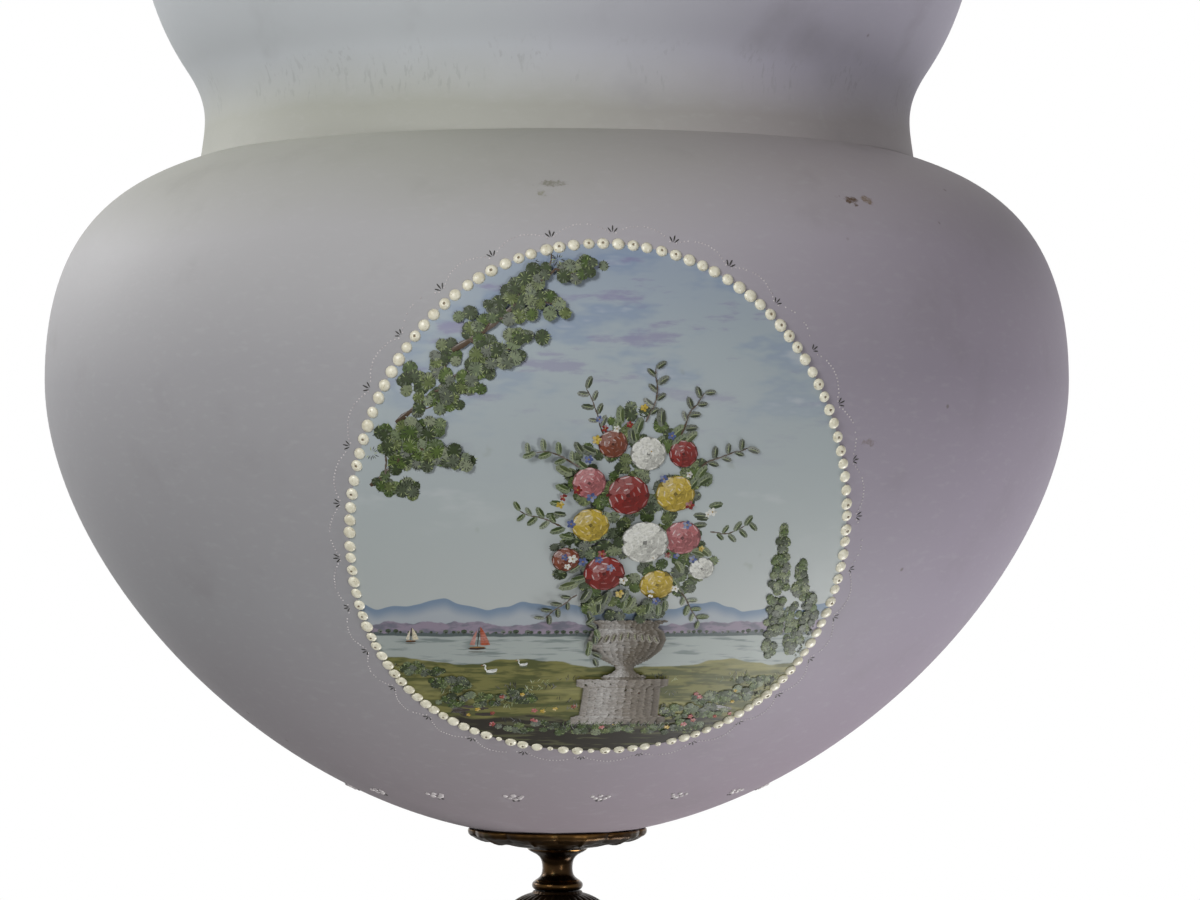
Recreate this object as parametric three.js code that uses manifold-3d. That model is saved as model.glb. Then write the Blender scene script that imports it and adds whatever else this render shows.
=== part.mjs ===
// A hanging lamp: an opaline glass bowl on three chains, with brass fittings.
// Millimetres, +Z up. The origin is the centre of the face that lies against the ceiling, so the
// lamp hangs below it. The front, where the painted oval is, faces -Y.

import * as THREE from "three";
import { mergeVertices } from "three/addons/utils/BufferGeometryUtils.js";
import Module from "manifold-3d";

const wasm = await Module();
wasm.setup();

// Clearances
const seatGap = 0.3; // between pieces that rest on each other
const boreGap = 0.35; // round a rod in its hole
const swayGap = 0.65; // at the lower hooks, which also give way a little as the bowl sways

// Opaline bowl, from its lowest point up to its rim
const bowlRadius = 178.5;
const bowlWidestHeight = 158.5;
const bowlBottomFlatness = 91.4;
const bowlSideFullness = 68;
const shoulderFullness = 50.5;
const shoulderRise = 76.2; // from the widest ring up to the crease
const shoulderReach = 53.9; // from the widest ring in to the crease
const shoulderRun = 30.9;
const shoulderSlope = 17; // degrees below level where the shoulder meets the collar
const waistDraw = 12.4;
const waistLean = 7.3; // degrees that the collar leans in as it leaves the crease
const flareRise = 32.3; // from the crease up to where the collar flares
const flareReach = 4.9;
const flareLean = 34; // degrees that the collar leans out there
const flareDraw = 16;
const collarRise = 53; // from there up to the collar's widest ring
const collarReach = 16.3;
const rimRise = 18; // from there up to the rim, which turns in a little
const rimTuck = 1.8;
const glassWall = 4;
const bowlHoleRadius = 7.5;

// Gallery, the brass ring that grips the rim
const feltThickness = 1.5;
const galleryLip = 8.5; // how far its lip reaches in over the rim
const galleryRingHeight = 10;
const gallerySkirt = 43;
const gallerySkirtWall = 2.6;
const gallerySkirtRoom = 3.7; // between the collar's widest ring and the skirt
const galleryBeadStand = 2.4;
const gripDrop = 16; // below the collar's widest ring, where the three screws bear on the glass
const gripScrewRadius = 2.5;
const gripHeadRadius = 6.5;
const gripHeadThickness = 5;
const gripHeadStandoff = 4;
const gripFlutes = 8;

// Chains
const chainCount = 3;
const linksPerChain = 7;
const linkWireRadius = 1.7;
const linkHalfWidth = 5.4; // to the middle of the wire
const chainFall = 336; // from a crown eye's lowest wire down to the middle of a gallery eye
const galleryEyeInset = 2.1; // from the skirt's outer face
const eyeRadius = 6;
const eyeWireRadius = 2.3;
const eyeStemRadius = 2.2;
const galleryEyeFoot = 4.5;
const galleryEyeFootRadius = 4.2;
const hookLength = 30; // between the middles of the wire at its two ends
const hookBendRadius = 5;
const hookWireRadius = 1.7;
const hookLap = 14; // degrees that each end of the hook runs on past half round

// Crown
const crownRadius = 55;
const crownEyeInset = 10; // from the crown's edge in to the circle that its eyes stand on
const crownShelfThickness = 5;
const crownHubRadius = 11;
const crownHubRise = 12;
const crownBossDrop = 7;
const crownLobes = 8;
const crownLobeDepth = 1.8;
const peenRadius = 3.6;
const peenHeight = 1.8;
const swivelRadius = 10;
const swivelWireRadius = 2.8;
const swivelStemRadius = 3.2;
const swivelNeck = 2.5;
const dropRadius = 8.5;
const dropHeight = 22;

// Ring that joins the crown to the ceiling hook
const linkRingRadius = 17;
const linkRingWireRadius = 3;

// Ceiling fitting
const ceilingPlateRadius = 24;
const ceilingPlateThickness = 3.2;
const ceilingBossRadius = 8;
const ceilingBossDrop = 9;
const ceilingScrewCircle = 17;
const ceilingScrewHoleRadius = 2.3;
const threadCover = 2; // metal left over the blind thread
const canopyRadius = 52;
const canopyLip = 4;
const canopyDepth = 46;
const canopyNeckRadius = 13;
const canopyWall = 1.8;
const collarNutRadius = 9;
const collarNutHeight = 8;
const hookShankRadius = 3.2;
const shankBelowNut = 5;
const ceilingHookRadius = 11.5;
const ceilingHookNeck = 6;
const ceilingHookTip = 145; // degrees, where the hook's point ends

// Bottom fittings, on the rod through the glass
const rodRadius = 4;
const rodAboveGlass = 16;
const plateRadius = 31;
const plateThickness = 2;
const plateLip = 2.9; // depth of the rolled edge
const plateDish = 2.6; // how much higher the leaves are than the plate's middle
const plateLobes = 10;
const plateLobeDepth = 1.3;
const feltRadius = 24;
const innerPlateRadius = 27;
const innerPlateThickness = 2.5;
const nutAcrossFlats = 13;
const nutHeight = 6.5;
const spoolTopRadius = 10.5;
const spoolTopHeight = 3; // from the plate down to the spool's neck
const spoolWaistRadius = 5.3;
const spoolWaistDrop = 6.5; // from the plate down to the narrowest ring
const spoolFlareRadius = 7.4;
const spoolFlareDrop = 11.2;
const collarBeadRadius = 8.9;
const spoolHeight = 14.4;
const finialRadius = 20;
const finialHeight = 29;
const finialTopRadius = 9;
const finialFlutes = 14;
const finialFluteDepth = 1.1;
const finialBore = 14;
const tipRadius = 6;
const tipHeight = 15;

// Lampholder and bulb
const holderRadius = 19.5;
const holderWall = 1.5;
const holderCapHeight = 17;
const holderShellHeight = 40;
const insertLedge = 2.5; // width of the cap's ledge that the insert stands on
const insertHeight = 34;
const socketDepth = 27;
const capRadius = 13;
const capHeight = 25;
const contactRadius = 4.5;
const contactHeight = 3;
const bulbRadius = 30;
const bulbNeckRadius = 12.2;
const bulbHeight = 83;
const bulbWall = 0.8;

const fullTurn = 360;

// Facets
const bowlSides = 36;
const turnedSides = 20;
const smallSides = 16;
const wireSides = 6;
const linkSides = 5;
const bendSteps = 4;
const eyeSteps = 10;
const stemSides = 8;
const lobeFacets = 3; // the first corner of each lobe is its notch

// Rings of the bowl and of the gallery that follow from these sizes
const creaseRadius = bowlRadius - shoulderReach;
const creaseHeight = bowlWidestHeight + shoulderRise;
const flareRadius = creaseRadius + flareReach;
const flareHeight = creaseHeight + flareRise;
const collarRadius = flareRadius + collarReach;
const collarHeight = flareHeight + collarRise;
const rimRadius = collarRadius - rimTuck;
const bowlHeight = collarHeight + rimRise;
const gripHeight = collarHeight - gripDrop;
const galleryInnerRadius = rimRadius - galleryLip;
const skirtInner = collarRadius + gallerySkirtRoom;
const skirtOuter = skirtInner + gallerySkirtWall;
const galleryEyeCircle = skirtOuter - galleryEyeInset;
const galleryBead = skirtOuter + galleryBeadStand;

const crownEyeCircle = crownRadius - crownEyeInset;

// Levels, from the ceiling down
const plateBottom = -ceilingPlateThickness;
const bossBottom = plateBottom - ceilingBossDrop;
const canopyTop = -seatGap;
const canopyBottom = canopyTop - canopyDepth;
const nutTop = canopyBottom - seatGap;
const nutBottom = nutTop - collarNutHeight;
const shankBottom = nutBottom - shankBelowNut;
const hookCentreDrop = Math.sqrt(ceilingHookRadius ** 2 + 2 * ceilingHookNeck * ceilingHookRadius);
const ceilingHookCentre = shankBottom - hookCentreDrop;
const saddleLevel = ceilingHookCentre - ceilingHookRadius; // the ring swings about this
const linkRingCentre = saddleLevel + hookShankRadius + linkRingWireRadius + seatGap - linkRingRadius;
const ringSaddleLevel = linkRingCentre - linkRingRadius; // the crown swings about this
const swivelCentre = ringSaddleLevel + linkRingWireRadius + swivelWireRadius + seatGap - swivelRadius;
const swivelBottom = swivelCentre - swivelRadius - swivelWireRadius;
const crownTop = swivelBottom - swivelNeck - seatGap;
const shelfTop = crownTop - crownHubRise;
const shelfBottom = shelfTop - crownShelfThickness;
const bossLevel = shelfBottom - crownBossDrop;
const crownEyeCentre = shelfBottom - seatGap - eyeWireRadius - eyeRadius;
const chainTop = crownEyeCentre - eyeRadius; // each chain swings about this
const galleryEyeCentre = chainTop - chainFall;
const galleryEyeBase = galleryEyeCentre - eyeRadius - eyeWireRadius - galleryEyeFoot;
const galleryTop = galleryEyeBase - seatGap;
const galleryBottom = galleryTop - gallerySkirt;
const rimLevel = galleryTop - galleryRingHeight + seatGap;
const feltTop = galleryTop - galleryRingHeight + feltThickness + 2 * seatGap;
const bowlBottom = rimLevel - bowlHeight;

// The bowl's section

const degrees = THREE.MathUtils.degToRad;
const at = (r, z) => new THREE.Vector2(r, z);

// A point a given distance from another, at an angle measured from upright, outwards.
function leaning(point, angle, distance) {
  const a = degrees(angle);
  return at(point.x + distance * Math.sin(a), point.y + distance * Math.cos(a));
}

const bowlLow = new THREE.CubicBezierCurve(
  at(0, 0),
  at(bowlBottomFlatness, 0),
  at(bowlRadius, bowlWidestHeight - bowlSideFullness),
  at(bowlRadius, bowlWidestHeight),
);
const crease = at(creaseRadius, creaseHeight);
const bowlHigh = new THREE.CubicBezierCurve(
  at(bowlRadius, bowlWidestHeight),
  at(bowlRadius, bowlWidestHeight + shoulderFullness),
  leaning(crease, 90 + shoulderSlope, shoulderRun),
  crease,
);
const flare = at(flareRadius, flareHeight);
const waist = new THREE.CubicBezierCurve(
  crease,
  leaning(crease, -waistLean, waistDraw),
  leaning(flare, flareLean, -flareDraw),
  flare,
);
const collar = new THREE.CubicBezierCurve(
  flare,
  leaning(flare, flareLean, collarRise / 3),
  at(collarRadius, collarHeight - collarRise / 2.6),
  at(collarRadius, collarHeight),
);
const rim = new THREE.QuadraticBezierCurve(
  at(collarRadius, collarHeight),
  at(collarRadius, (collarHeight + bowlHeight) / 2),
  at(rimRadius, bowlHeight - glassWall / 2),
);

// Points along a stretch of the outside, moved in by a wall's thickness.
function stretch(curve, steps, wall = 0, from = 0) {
  return Array.from({ length: steps + 1 }, (_, i) => {
    const t = from + ((1 - from) * i) / steps;
    const along = curve.getTangent(t);
    return curve.getPoint(t).add(at(-along.y, along.x).multiplyScalar(wall));
  });
}

// Where a rising stretch reaches a radius.
function shareAtRadius(curve, radius) {
  let low = 0;
  let high = 1;
  for (let i = 0; i < 40; i += 1) {
    const middle = (low + high) / 2;
    if (curve.getPoint(middle).x < radius) low = middle;
    else high = middle;
  }
  return low;
}

const holeShare = shareAtRadius(bowlLow, bowlHoleRadius);
const bowlOutside = [
  ...stretch(bowlLow, 6, 0, holeShare),
  ...stretch(bowlHigh, 4).slice(1),
  ...stretch(waist, 3).slice(1),
  ...stretch(collar, 2).slice(1),
  ...stretch(rim, 1).slice(1),
];
const bowlInside = [
  ...stretch(bowlLow, 6, glassWall, holeShare),
  ...stretch(bowlHigh, 3, glassWall).slice(1),
  ...stretch(waist, 2, glassWall),
  ...stretch(collar, 1, glassWall).slice(1),
];
bowlInside[0].x = bowlHoleRadius;

// The level of the bowl's floor at a radius, on its outside or its inside.
function floorAt(side, radius) {
  const i = Math.max(side.findIndex((p) => p.x > radius), 1);
  const [inner, outer] = [side[i - 1], side[i]];
  return inner.y + ((outer.y - inner.y) * (radius - inner.x)) / (outer.x - inner.x);
}

const glassBottomAt = (radius) => floorAt(bowlOutside, radius);
const glassInsideAt = (radius) => floorAt(bowlInside, radius);

// Where the collar's outside is at a height, for the screws that grip it.
function collarRadiusAt(height) {
  let low = 0;
  let high = 1;
  for (let i = 0; i < 40; i += 1) {
    const middle = (low + high) / 2;
    if (collar.getPoint(middle).y < height) low = middle;
    else high = middle;
  }
  return collar.getPoint(low).x;
}

// Solids

// One copy of each corner, and no triangle without an area.
function welded(geometry) {
  const bare = new THREE.BufferGeometry();
  bare.setAttribute("position", geometry.getAttribute("position"));
  bare.setIndex(geometry.index);
  const merged = mergeVertices(bare, 1e-4);
  const corners = Array.from(merged.index.array);
  const kept = [];
  for (let i = 0; i < corners.length; i += 3) {
    const [a, b, c] = corners.slice(i, i + 3);
    if (a !== b && b !== c && c !== a) kept.push(a, b, c);
  }
  merged.setIndex(kept);
  return merged;
}

function toSolid(geometry) {
  const shape = welded(geometry);
  return new wasm.Manifold(
    new wasm.Mesh({
      numProp: 3,
      vertProperties: new Float32Array(shape.getAttribute("position").array),
      triVerts: new Uint32Array(shape.index.array),
    }),
  );
}

function toGeometry(solid) {
  const mesh = solid.getMesh();
  const geometry = new THREE.BufferGeometry();
  geometry.setAttribute("position", new THREE.BufferAttribute(mesh.vertProperties, 3));
  geometry.setIndex(new THREE.BufferAttribute(mesh.triVerts, 1));
  return geometry;
}

function joined(first, ...others) {
  return toGeometry(others.reduce((whole, part) => whole.add(toSolid(part)), toSolid(first)));
}

function cut(body, ...tools) {
  return toGeometry(tools.reduce((left, tool) => left.subtract(toSolid(tool)), toSolid(body)));
}

// A turned piece: a closed outline of [radius, height] points spun round the Z axis.
function turned(outline, sides = turnedSides, closed = true) {
  const points = outline.map((p) => (p.isVector2 ? p : at(...p)));
  if (THREE.ShapeUtils.area(points) < 0) points.reverse();
  if (closed) points.push(points[0].clone());
  return new THREE.LatheGeometry(points, sides).rotateX(Math.PI / 2);
}

// A turned piece with no bore, its outline running from the axis to the axis.
function turnedSolid(outline, sides = turnedSides) {
  return turned(outline, sides, false);
}

// A turned piece drawn in between lobes, the first notch at the front. The depth is a function of
// radius and height.
function lobed(geometry, lobes, depthAt) {
  const places = geometry.getAttribute("position");
  const point = new THREE.Vector3();
  for (let i = 0; i < places.count; i += 1) {
    point.fromBufferAttribute(places, i);
    const radius = Math.hypot(point.x, point.y);
    if (radius > 1e-6) {
      const turn = Math.atan2(point.x, -point.y) * lobes;
      const hollow = 1 - Math.abs(Math.sin(turn / 2));
      const scale = (radius - depthAt(radius, point.z) * hollow) / radius;
      places.setXY(i, point.x * scale, point.y * scale);
    }
  }
  return geometry;
}

// A rod along Z between two heights.
function rod(radius, low, high, sides = smallSides) {
  return turnedSolid([[0, low], [radius, low], [radius, high], [0, high]], sides);
}

// An eye: a ring of wire standing in the XZ plane.
function eye(radius, wire, height, steps = eyeSteps) {
  return new THREE.TorusGeometry(radius, wire, wireSides, steps).rotateX(Math.PI / 2).translate(0, 0, height);
}

function wireSection(radius, sides) {
  const corners = Array.from({ length: sides }, (_, i) => {
    const a = (2 * Math.PI * (i + 0.5)) / sides;
    return at(radius * Math.cos(a), radius * Math.sin(a));
  });
  return new THREE.Shape(corners);
}

// A flat path of arcs and lines as a curve in the XZ plane, with its own stations.
class FlatPath extends THREE.Curve {
  constructor(stations) {
    super();
    this.stations = stations;
  }

  getPoint(t) {
    const place = t * (this.stations.length - 1);
    const i = Math.min(Math.floor(place), this.stations.length - 2);
    const p = this.stations[i].clone().lerp(this.stations[i + 1], place - i);
    return new THREE.Vector3(p.x, 0, p.y);
  }

  getPointAt(u) {
    return this.getPoint(u);
  }

  getTangentAt(u) {
    const step = 1 / (this.stations.length - 1);
    const before = this.getPoint(Math.max(u - step, 0));
    return this.getPoint(Math.min(u + step, 1)).sub(before).normalize();
  }
}

// Bent wire along a flat path of stations.
function bentWire(stations, radius, sides = wireSides) {
  return new THREE.ExtrudeGeometry(wireSection(radius, sides), {
    extrudePath: new FlatPath(stations),
    steps: stations.length - 1,
  });
}

function arc(x, z, radius, from, to, steps) {
  return Array.from({ length: steps + 1 }, (_, i) => {
    const a = degrees(from + ((to - from) * i) / steps);
    return at(x + radius * Math.cos(a), z + radius * Math.sin(a));
  });
}

// A chain link: a closed oval of wire in the XZ plane, with straight sides.
class OvalPath extends THREE.Curve {
  constructor(halfLength, halfWidth) {
    super();
    const straight = halfLength - halfWidth;
    this.corners = [
      ...arc(0, straight, halfWidth, 0, 180, bendSteps),
      ...arc(0, -straight, halfWidth, 180, 360, bendSteps),
    ];
  }

  getPoint(t) {
    const count = this.corners.length;
    const place = (((t % 1) + 1) % 1) * count;
    const i = Math.floor(place) % count;
    const p = this.corners[i].clone().lerp(this.corners[(i + 1) % count], place - Math.floor(place));
    return new THREE.Vector3(p.x, 0, p.y);
  }

  getPointAt(u) {
    return this.getPoint(u);
  }

  getTangentAt(u) {
    const step = 1 / this.corners.length;
    return this.getPoint(u + step).sub(this.getPoint(u - step)).normalize();
  }
}

function link(halfLength) {
  const path = new OvalPath(halfLength, linkHalfWidth);
  return new THREE.TubeGeometry(path, path.corners.length, linkWireRadius, linkSides, true);
}

// Materials, and the group that holds the lamp

const finish = (color, roughness, metalness) => new THREE.MeshStandardMaterial({ color, roughness, metalness });
const opaline = finish(0x98959b, 0.42, 0);
const agedBrass = finish(0x5a4526, 0.42, 1);
const chainBrass = finish(0x6b5430, 0.45, 1);
const felt = finish(0x3a352f, 0.95, 0);
const porcelain = finish(0xe8e4da, 0.3, 0);
const clearGlass = finish(0xe9ecec, 0.08, 0);
const plainMetal = finish(0xa8a39a, 0.35, 1);

const lamp = new THREE.Group();

function add(name, geometry, material, parent = lamp) {
  const mesh = new THREE.Mesh(geometry, material);
  mesh.name = name;
  parent.add(mesh);
  return mesh;
}

// Ceiling fitting

function ceilingPlate() {
  const body = turnedSolid([
    [0, bossBottom],
    [ceilingBossRadius, bossBottom],
    [ceilingBossRadius, plateBottom],
    [ceilingPlateRadius, plateBottom],
    [ceilingPlateRadius, 0],
    [0, 0],
  ]);
  const thread = rod(hookShankRadius + boreGap, bossBottom - 1, -threadCover);
  const holes = [0, 1, 2].map((i) => {
    const turn = degrees(120 * i + 30);
    const hole = rod(ceilingScrewHoleRadius, plateBottom - 1, 1, stemSides);
    return hole.translate(ceilingScrewCircle * Math.cos(turn), ceilingScrewCircle * Math.sin(turn), 0);
  });
  return cut(body, thread, ...holes);
}

// An upturned bell, open against the ceiling.
function canopy() {
  const bore = hookShankRadius + boreGap;
  const side = new THREE.CubicBezierCurve(
    at(canopyRadius, canopyTop - canopyLip),
    at(canopyRadius - 2, canopyTop - canopyDepth * 0.52),
    at(canopyRadius * 0.42, canopyTop - canopyDepth * 0.5),
    at(canopyNeckRadius, canopyBottom + canopyWall),
  );
  const outside = [at(canopyRadius + 1.5, canopyTop), at(canopyRadius + 1.5, canopyTop - canopyLip / 2)];
  outside.push(...stretch(side, 4), at(canopyNeckRadius - 1, canopyBottom), at(bore, canopyBottom));
  const inside = [at(bore, canopyBottom + canopyWall)];
  inside.push(...stretch(side, 4, -canopyWall).slice(0, -1).reverse(), at(canopyRadius - canopyWall, canopyTop));
  return turned([...outside, ...inside]);
}

function collarNut() {
  const bore = hookShankRadius + boreGap;
  return turned(
    [
      [bore, nutTop],
      [collarNutRadius - 1.5, nutTop],
      ...arc(collarNutRadius - 2.5, nutTop - collarNutHeight * 0.3, 2.5, 70, -70, 2).map((p) => [p.x, p.y]),
      [collarNutRadius - 3, nutBottom + 1.5],
      [bore + 1, nutBottom],
      [bore, nutBottom],
    ],
    smallSides,
  );
}

function ceilingHook() {
  const meeting = THREE.MathUtils.radToDeg(Math.atan2(hookCentreDrop, ceilingHookNeck));
  const neck = arc(ceilingHookNeck, shankBottom, ceilingHookNeck, 180, 180 + meeting, 2);
  const loop = arc(0, ceilingHookCentre, ceilingHookRadius, meeting, ceilingHookTip - fullTurn, 11);
  const shankTop = -threadCover - seatGap;
  return bentWire([at(0, shankTop), ...neck, ...loop.slice(1)], hookShankRadius, 8);
}

add("ceiling_plate", ceilingPlate(), agedBrass);
add("canopy", canopy(), agedBrass);
add("canopy_nut", collarNut(), agedBrass);
add("ceiling_hook", ceilingHook(), agedBrass);

// The ring stands across the hook, and the crown's swivel eye across the ring.

const suspensionRing = new THREE.TorusGeometry(linkRingRadius, linkRingWireRadius, wireSides, 18);
add("suspension_ring", suspensionRing.rotateY(Math.PI / 2).translate(0, 0, linkRingCentre), agedBrass);

// Crown: a cast plate with a lobed edge, hung by its swivel eye

const shelfOuter = crownEyeCircle + eyeStemRadius + 3;
const swivelStemBottom = bossLevel - 8;

function crownPlate() {
  const bore = swivelStemRadius + boreGap;
  const outline = [
    [bore, crownTop],
    [crownHubRadius - 1, crownTop],
    [crownHubRadius - 1.5, shelfTop + crownHubRise * 0.45],
    [crownHubRadius + 4, shelfTop + crownHubRise * 0.2],
    [crownEyeCircle - peenRadius - 2, shelfTop],
    [shelfOuter, shelfTop],
    [crownRadius - 1, shelfTop - 1.5],
    [crownRadius, shelfTop - 3],
    [crownRadius - 1.5, shelfBottom - 1],
    [shelfOuter, shelfBottom],
    [crownEyeCircle - eyeStemRadius - 4, shelfBottom],
    [crownHubRadius + 6, bossLevel + crownBossDrop * 0.35],
    [crownHubRadius, bossLevel],
    [bore, bossLevel],
  ];
  const edge = (radius) => crownLobeDepth * THREE.MathUtils.smoothstep(radius, shelfOuter, crownRadius);
  const holes = chainTurns().map((turn) => {
    const hole = rod(eyeStemRadius + boreGap, shelfBottom - 3, shelfTop + 3, stemSides);
    return hole.translate(crownEyeCircle * Math.cos(turn), crownEyeCircle * Math.sin(turn), 0);
  });
  return cut(lobed(turned(outline, crownLobes * lobeFacets), crownLobes, edge), ...holes);
}

function swivelEye() {
  const ring = eye(swivelRadius, swivelWireRadius, swivelCentre, 14);
  const collar = turnedSolid([
    [0, crownTop + seatGap],
    [swivelStemRadius + 2.5, crownTop + seatGap],
    [swivelStemRadius + 1.5, swivelBottom + 1.5],
    [0, swivelBottom + 1.5],
  ], smallSides);
  return joined(ring, collar, rod(swivelStemRadius, swivelStemBottom, crownTop + 1, stemSides));
}

// The nut under the crown, a small turned drop screwed on the swivel eye's stem.
function crownDrop() {
  const top = bossLevel - seatGap;
  const body = turnedSolid([
    [0, top],
    [dropRadius - 1, top],
    [dropRadius, top - 2],
    [dropRadius * 0.62, top - dropHeight * 0.3],
    [dropRadius * 0.92, top - dropHeight * 0.52],
    [dropRadius * 0.72, top - dropHeight * 0.74],
    [dropRadius * 0.3, top - dropHeight * 0.88],
    [dropRadius * 0.34, top - dropHeight * 0.95],
    [0, top - dropHeight],
  ], smallSides);
  return cut(body, rod(swivelStemRadius + boreGap, swivelStemBottom - seatGap, top + 1, stemSides));
}

// Chains stand at the back and at the front left and right.
function chainTurns() {
  return Array.from({ length: chainCount }, (_, i) => Math.PI / 2 + (2 * Math.PI * i) / chainCount);
}

// An eye under the crown's shelf, its stem peened over on top.
function crownEye() {
  const stem = rod(eyeStemRadius, shelfBottom - seatGap - eyeWireRadius, shelfTop + seatGap + 0.5, stemSides);
  const foot = rod(eyeStemRadius + 1.4, shelfBottom - seatGap - eyeWireRadius, shelfBottom - seatGap, stemSides);
  const peen = turnedSolid([
    [0, shelfTop + seatGap],
    [peenRadius, shelfTop + seatGap],
    [peenRadius * 0.75, shelfTop + seatGap + peenHeight * 0.7],
    [0, shelfTop + seatGap + peenHeight],
  ], stemSides);
  return joined(eye(eyeRadius, eyeWireRadius, crownEyeCentre), stem, foot, peen);
}

add("crown_plate", crownPlate(), agedBrass);
add("crown_swivel_eye", swivelEye(), agedBrass);
add("crown_drop_nut", crownDrop(), agedBrass);

// Each chain runs in the upright plane through the lamp's axis, from the crown's eye towards the middle
// of the gallery's, and its hook pulls on the wire of that eye where their line crosses it.

const chainRun = galleryEyeCircle - crownEyeCircle;
const chainLength = Math.hypot(chainRun, chainFall) - eyeRadius;
const chainLean = Math.atan2(chainRun, chainFall);
const topBite = eyeWireRadius + linkWireRadius + seatGap; // the link's wire lies over the eye's
const linkBite = 2 * linkWireRadius + seatGap;
const hookBite = linkWireRadius + hookWireRadius + seatGap;
const bottomBite = hookWireRadius + eyeWireRadius + swayGap;
const bitten = topBite + (linksPerChain - 1) * linkBite + hookBite + bottomBite;
const linkHalfLength = (chainLength + bitten - hookLength) / (2 * linksPerChain);
const linkPitch = 2 * linkHalfLength - linkBite;

// The hook at each chain's lower end: an S of wire whose arcs are joined by a slanting line.
function chainHook() {
  const centre = hookLength / 2 - hookBendRadius;
  const slant = THREE.MathUtils.radToDeg(Math.asin(hookBendRadius / centre));
  const upper = arc(0, centre, hookBendRadius, fullTurn / 2 + hookLap, -slant, 6);
  const lower = arc(0, -centre, hookBendRadius, fullTurn / 2 - slant, fullTurn + hookLap, 6);
  return bentWire([...upper, ...lower], hookWireRadius);
}

// An eye on the gallery ring, its stem let into the ring.
function galleryEye() {
  const foot = turnedSolid([
    [0, galleryEyeBase],
    [galleryEyeFootRadius, galleryEyeBase],
    [galleryEyeFootRadius, galleryEyeBase + 1.5],
    [eyeStemRadius + 0.6, galleryEyeBase + galleryEyeFoot],
    [eyeStemRadius, galleryEyeBase + galleryEyeFoot + eyeWireRadius],
    [0, galleryEyeBase + galleryEyeFoot + eyeWireRadius],
  ], stemSides);
  const stem = rod(eyeStemRadius, galleryStemBottom, galleryEyeBase + 1, stemSides);
  return joined(eye(eyeRadius, eyeWireRadius, galleryEyeCentre), foot, stem);
}

const galleryStemBottom = galleryTop - galleryRingHeight * 0.6;

chainTurns().forEach((turn, i) => {
  const letter = "abc"[i];
  const side = new THREE.Group(); // its X axis points out from the lamp's axis
  side.rotation.z = turn;
  lamp.add(side);

  const upperEye = add("crown_eye_" + letter, crownEye(), agedBrass, side);
  upperEye.rotation.z = Math.PI / 2;
  upperEye.position.x = crownEyeCircle;

  const chain = new THREE.Group(); // hangs from the eye's lowest wire, its Z axis up along the chain
  chain.position.set(crownEyeCircle, 0, chainTop);
  chain.rotation.y = -chainLean;
  side.add(chain);
  for (let k = 0; k < linksPerChain; k += 1) {
    const piece = add("chain_" + letter + "_link_" + (k + 1), link(linkHalfLength), chainBrass, chain);
    piece.position.z = topBite - linkHalfLength - k * linkPitch;
    piece.rotation.z = k % 2 ? Math.PI / 2 : 0;
  }
  const hook = add("chain_" + letter + "_hook", chainHook(), chainBrass, chain);
  hook.position.z = -(chainLength + bottomBite - hookLength / 2);
  hook.rotation.z = linksPerChain % 2 ? Math.PI / 2 : 0;

  const lowerEye = add("gallery_eye_" + letter, galleryEye(), agedBrass, side);
  lowerEye.position.x = galleryEyeCircle;
  lowerEye.rotation.z = linksPerChain % 2 ? 0 : Math.PI / 2;
});

// Gallery, with the felt that cushions the rim

const lipBottom = feltTop + seatGap;
const gripLevel = bowlBottom + gripHeight;
const gripTurns = chainTurns().map((turn) => turn + Math.PI / chainCount);

function galleryRing() {
  const lipTop = lipBottom + 3;
  const beadMiddle = (galleryEyeCircle + galleryBead) / 2;
  const outline = [
    [galleryInnerRadius, lipBottom],
    [galleryInnerRadius, lipTop],
    [galleryEyeCircle - 6, lipTop],
    [galleryEyeCircle - 5, galleryTop],
    [beadMiddle + 1.5, galleryTop],
    [galleryBead, galleryTop - 2.5],
    [galleryBead, galleryTop - 6],
    [skirtOuter, galleryTop - 9],
    [skirtOuter, galleryBottom + 7],
    [galleryBead - 1, galleryBottom + 4.5],
    [galleryBead - 1, galleryBottom + 2],
    [skirtOuter - 0.6, galleryBottom],
    [skirtInner, galleryBottom],
    [skirtInner, lipBottom],
  ];
  const sockets = chainTurns().map((turn) => {
    const socket = rod(eyeStemRadius + boreGap, galleryStemBottom - seatGap, galleryTop + 1, stemSides);
    return socket.translate(galleryEyeCircle * Math.cos(turn), galleryEyeCircle * Math.sin(turn), 0);
  });
  const holes = gripTurns.map((turn) => {
    const hole = rod(gripScrewRadius + boreGap, skirtInner - 5, galleryBead + 5, stemSides);
    return hole.rotateY(Math.PI / 2).rotateZ(turn).translate(0, 0, gripLevel);
  });
  return cut(turned(outline, bowlSides), ...sockets, ...holes);
}

function galleryFelt() {
  const low = rimLevel + seatGap;
  const inner = rimRadius - glassWall - 2;
  const outer = collarRadius + 1;
  return turned([[inner, low], [outer, low], [outer, feltTop], [inner, feltTop]], bowlSides);
}

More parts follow.
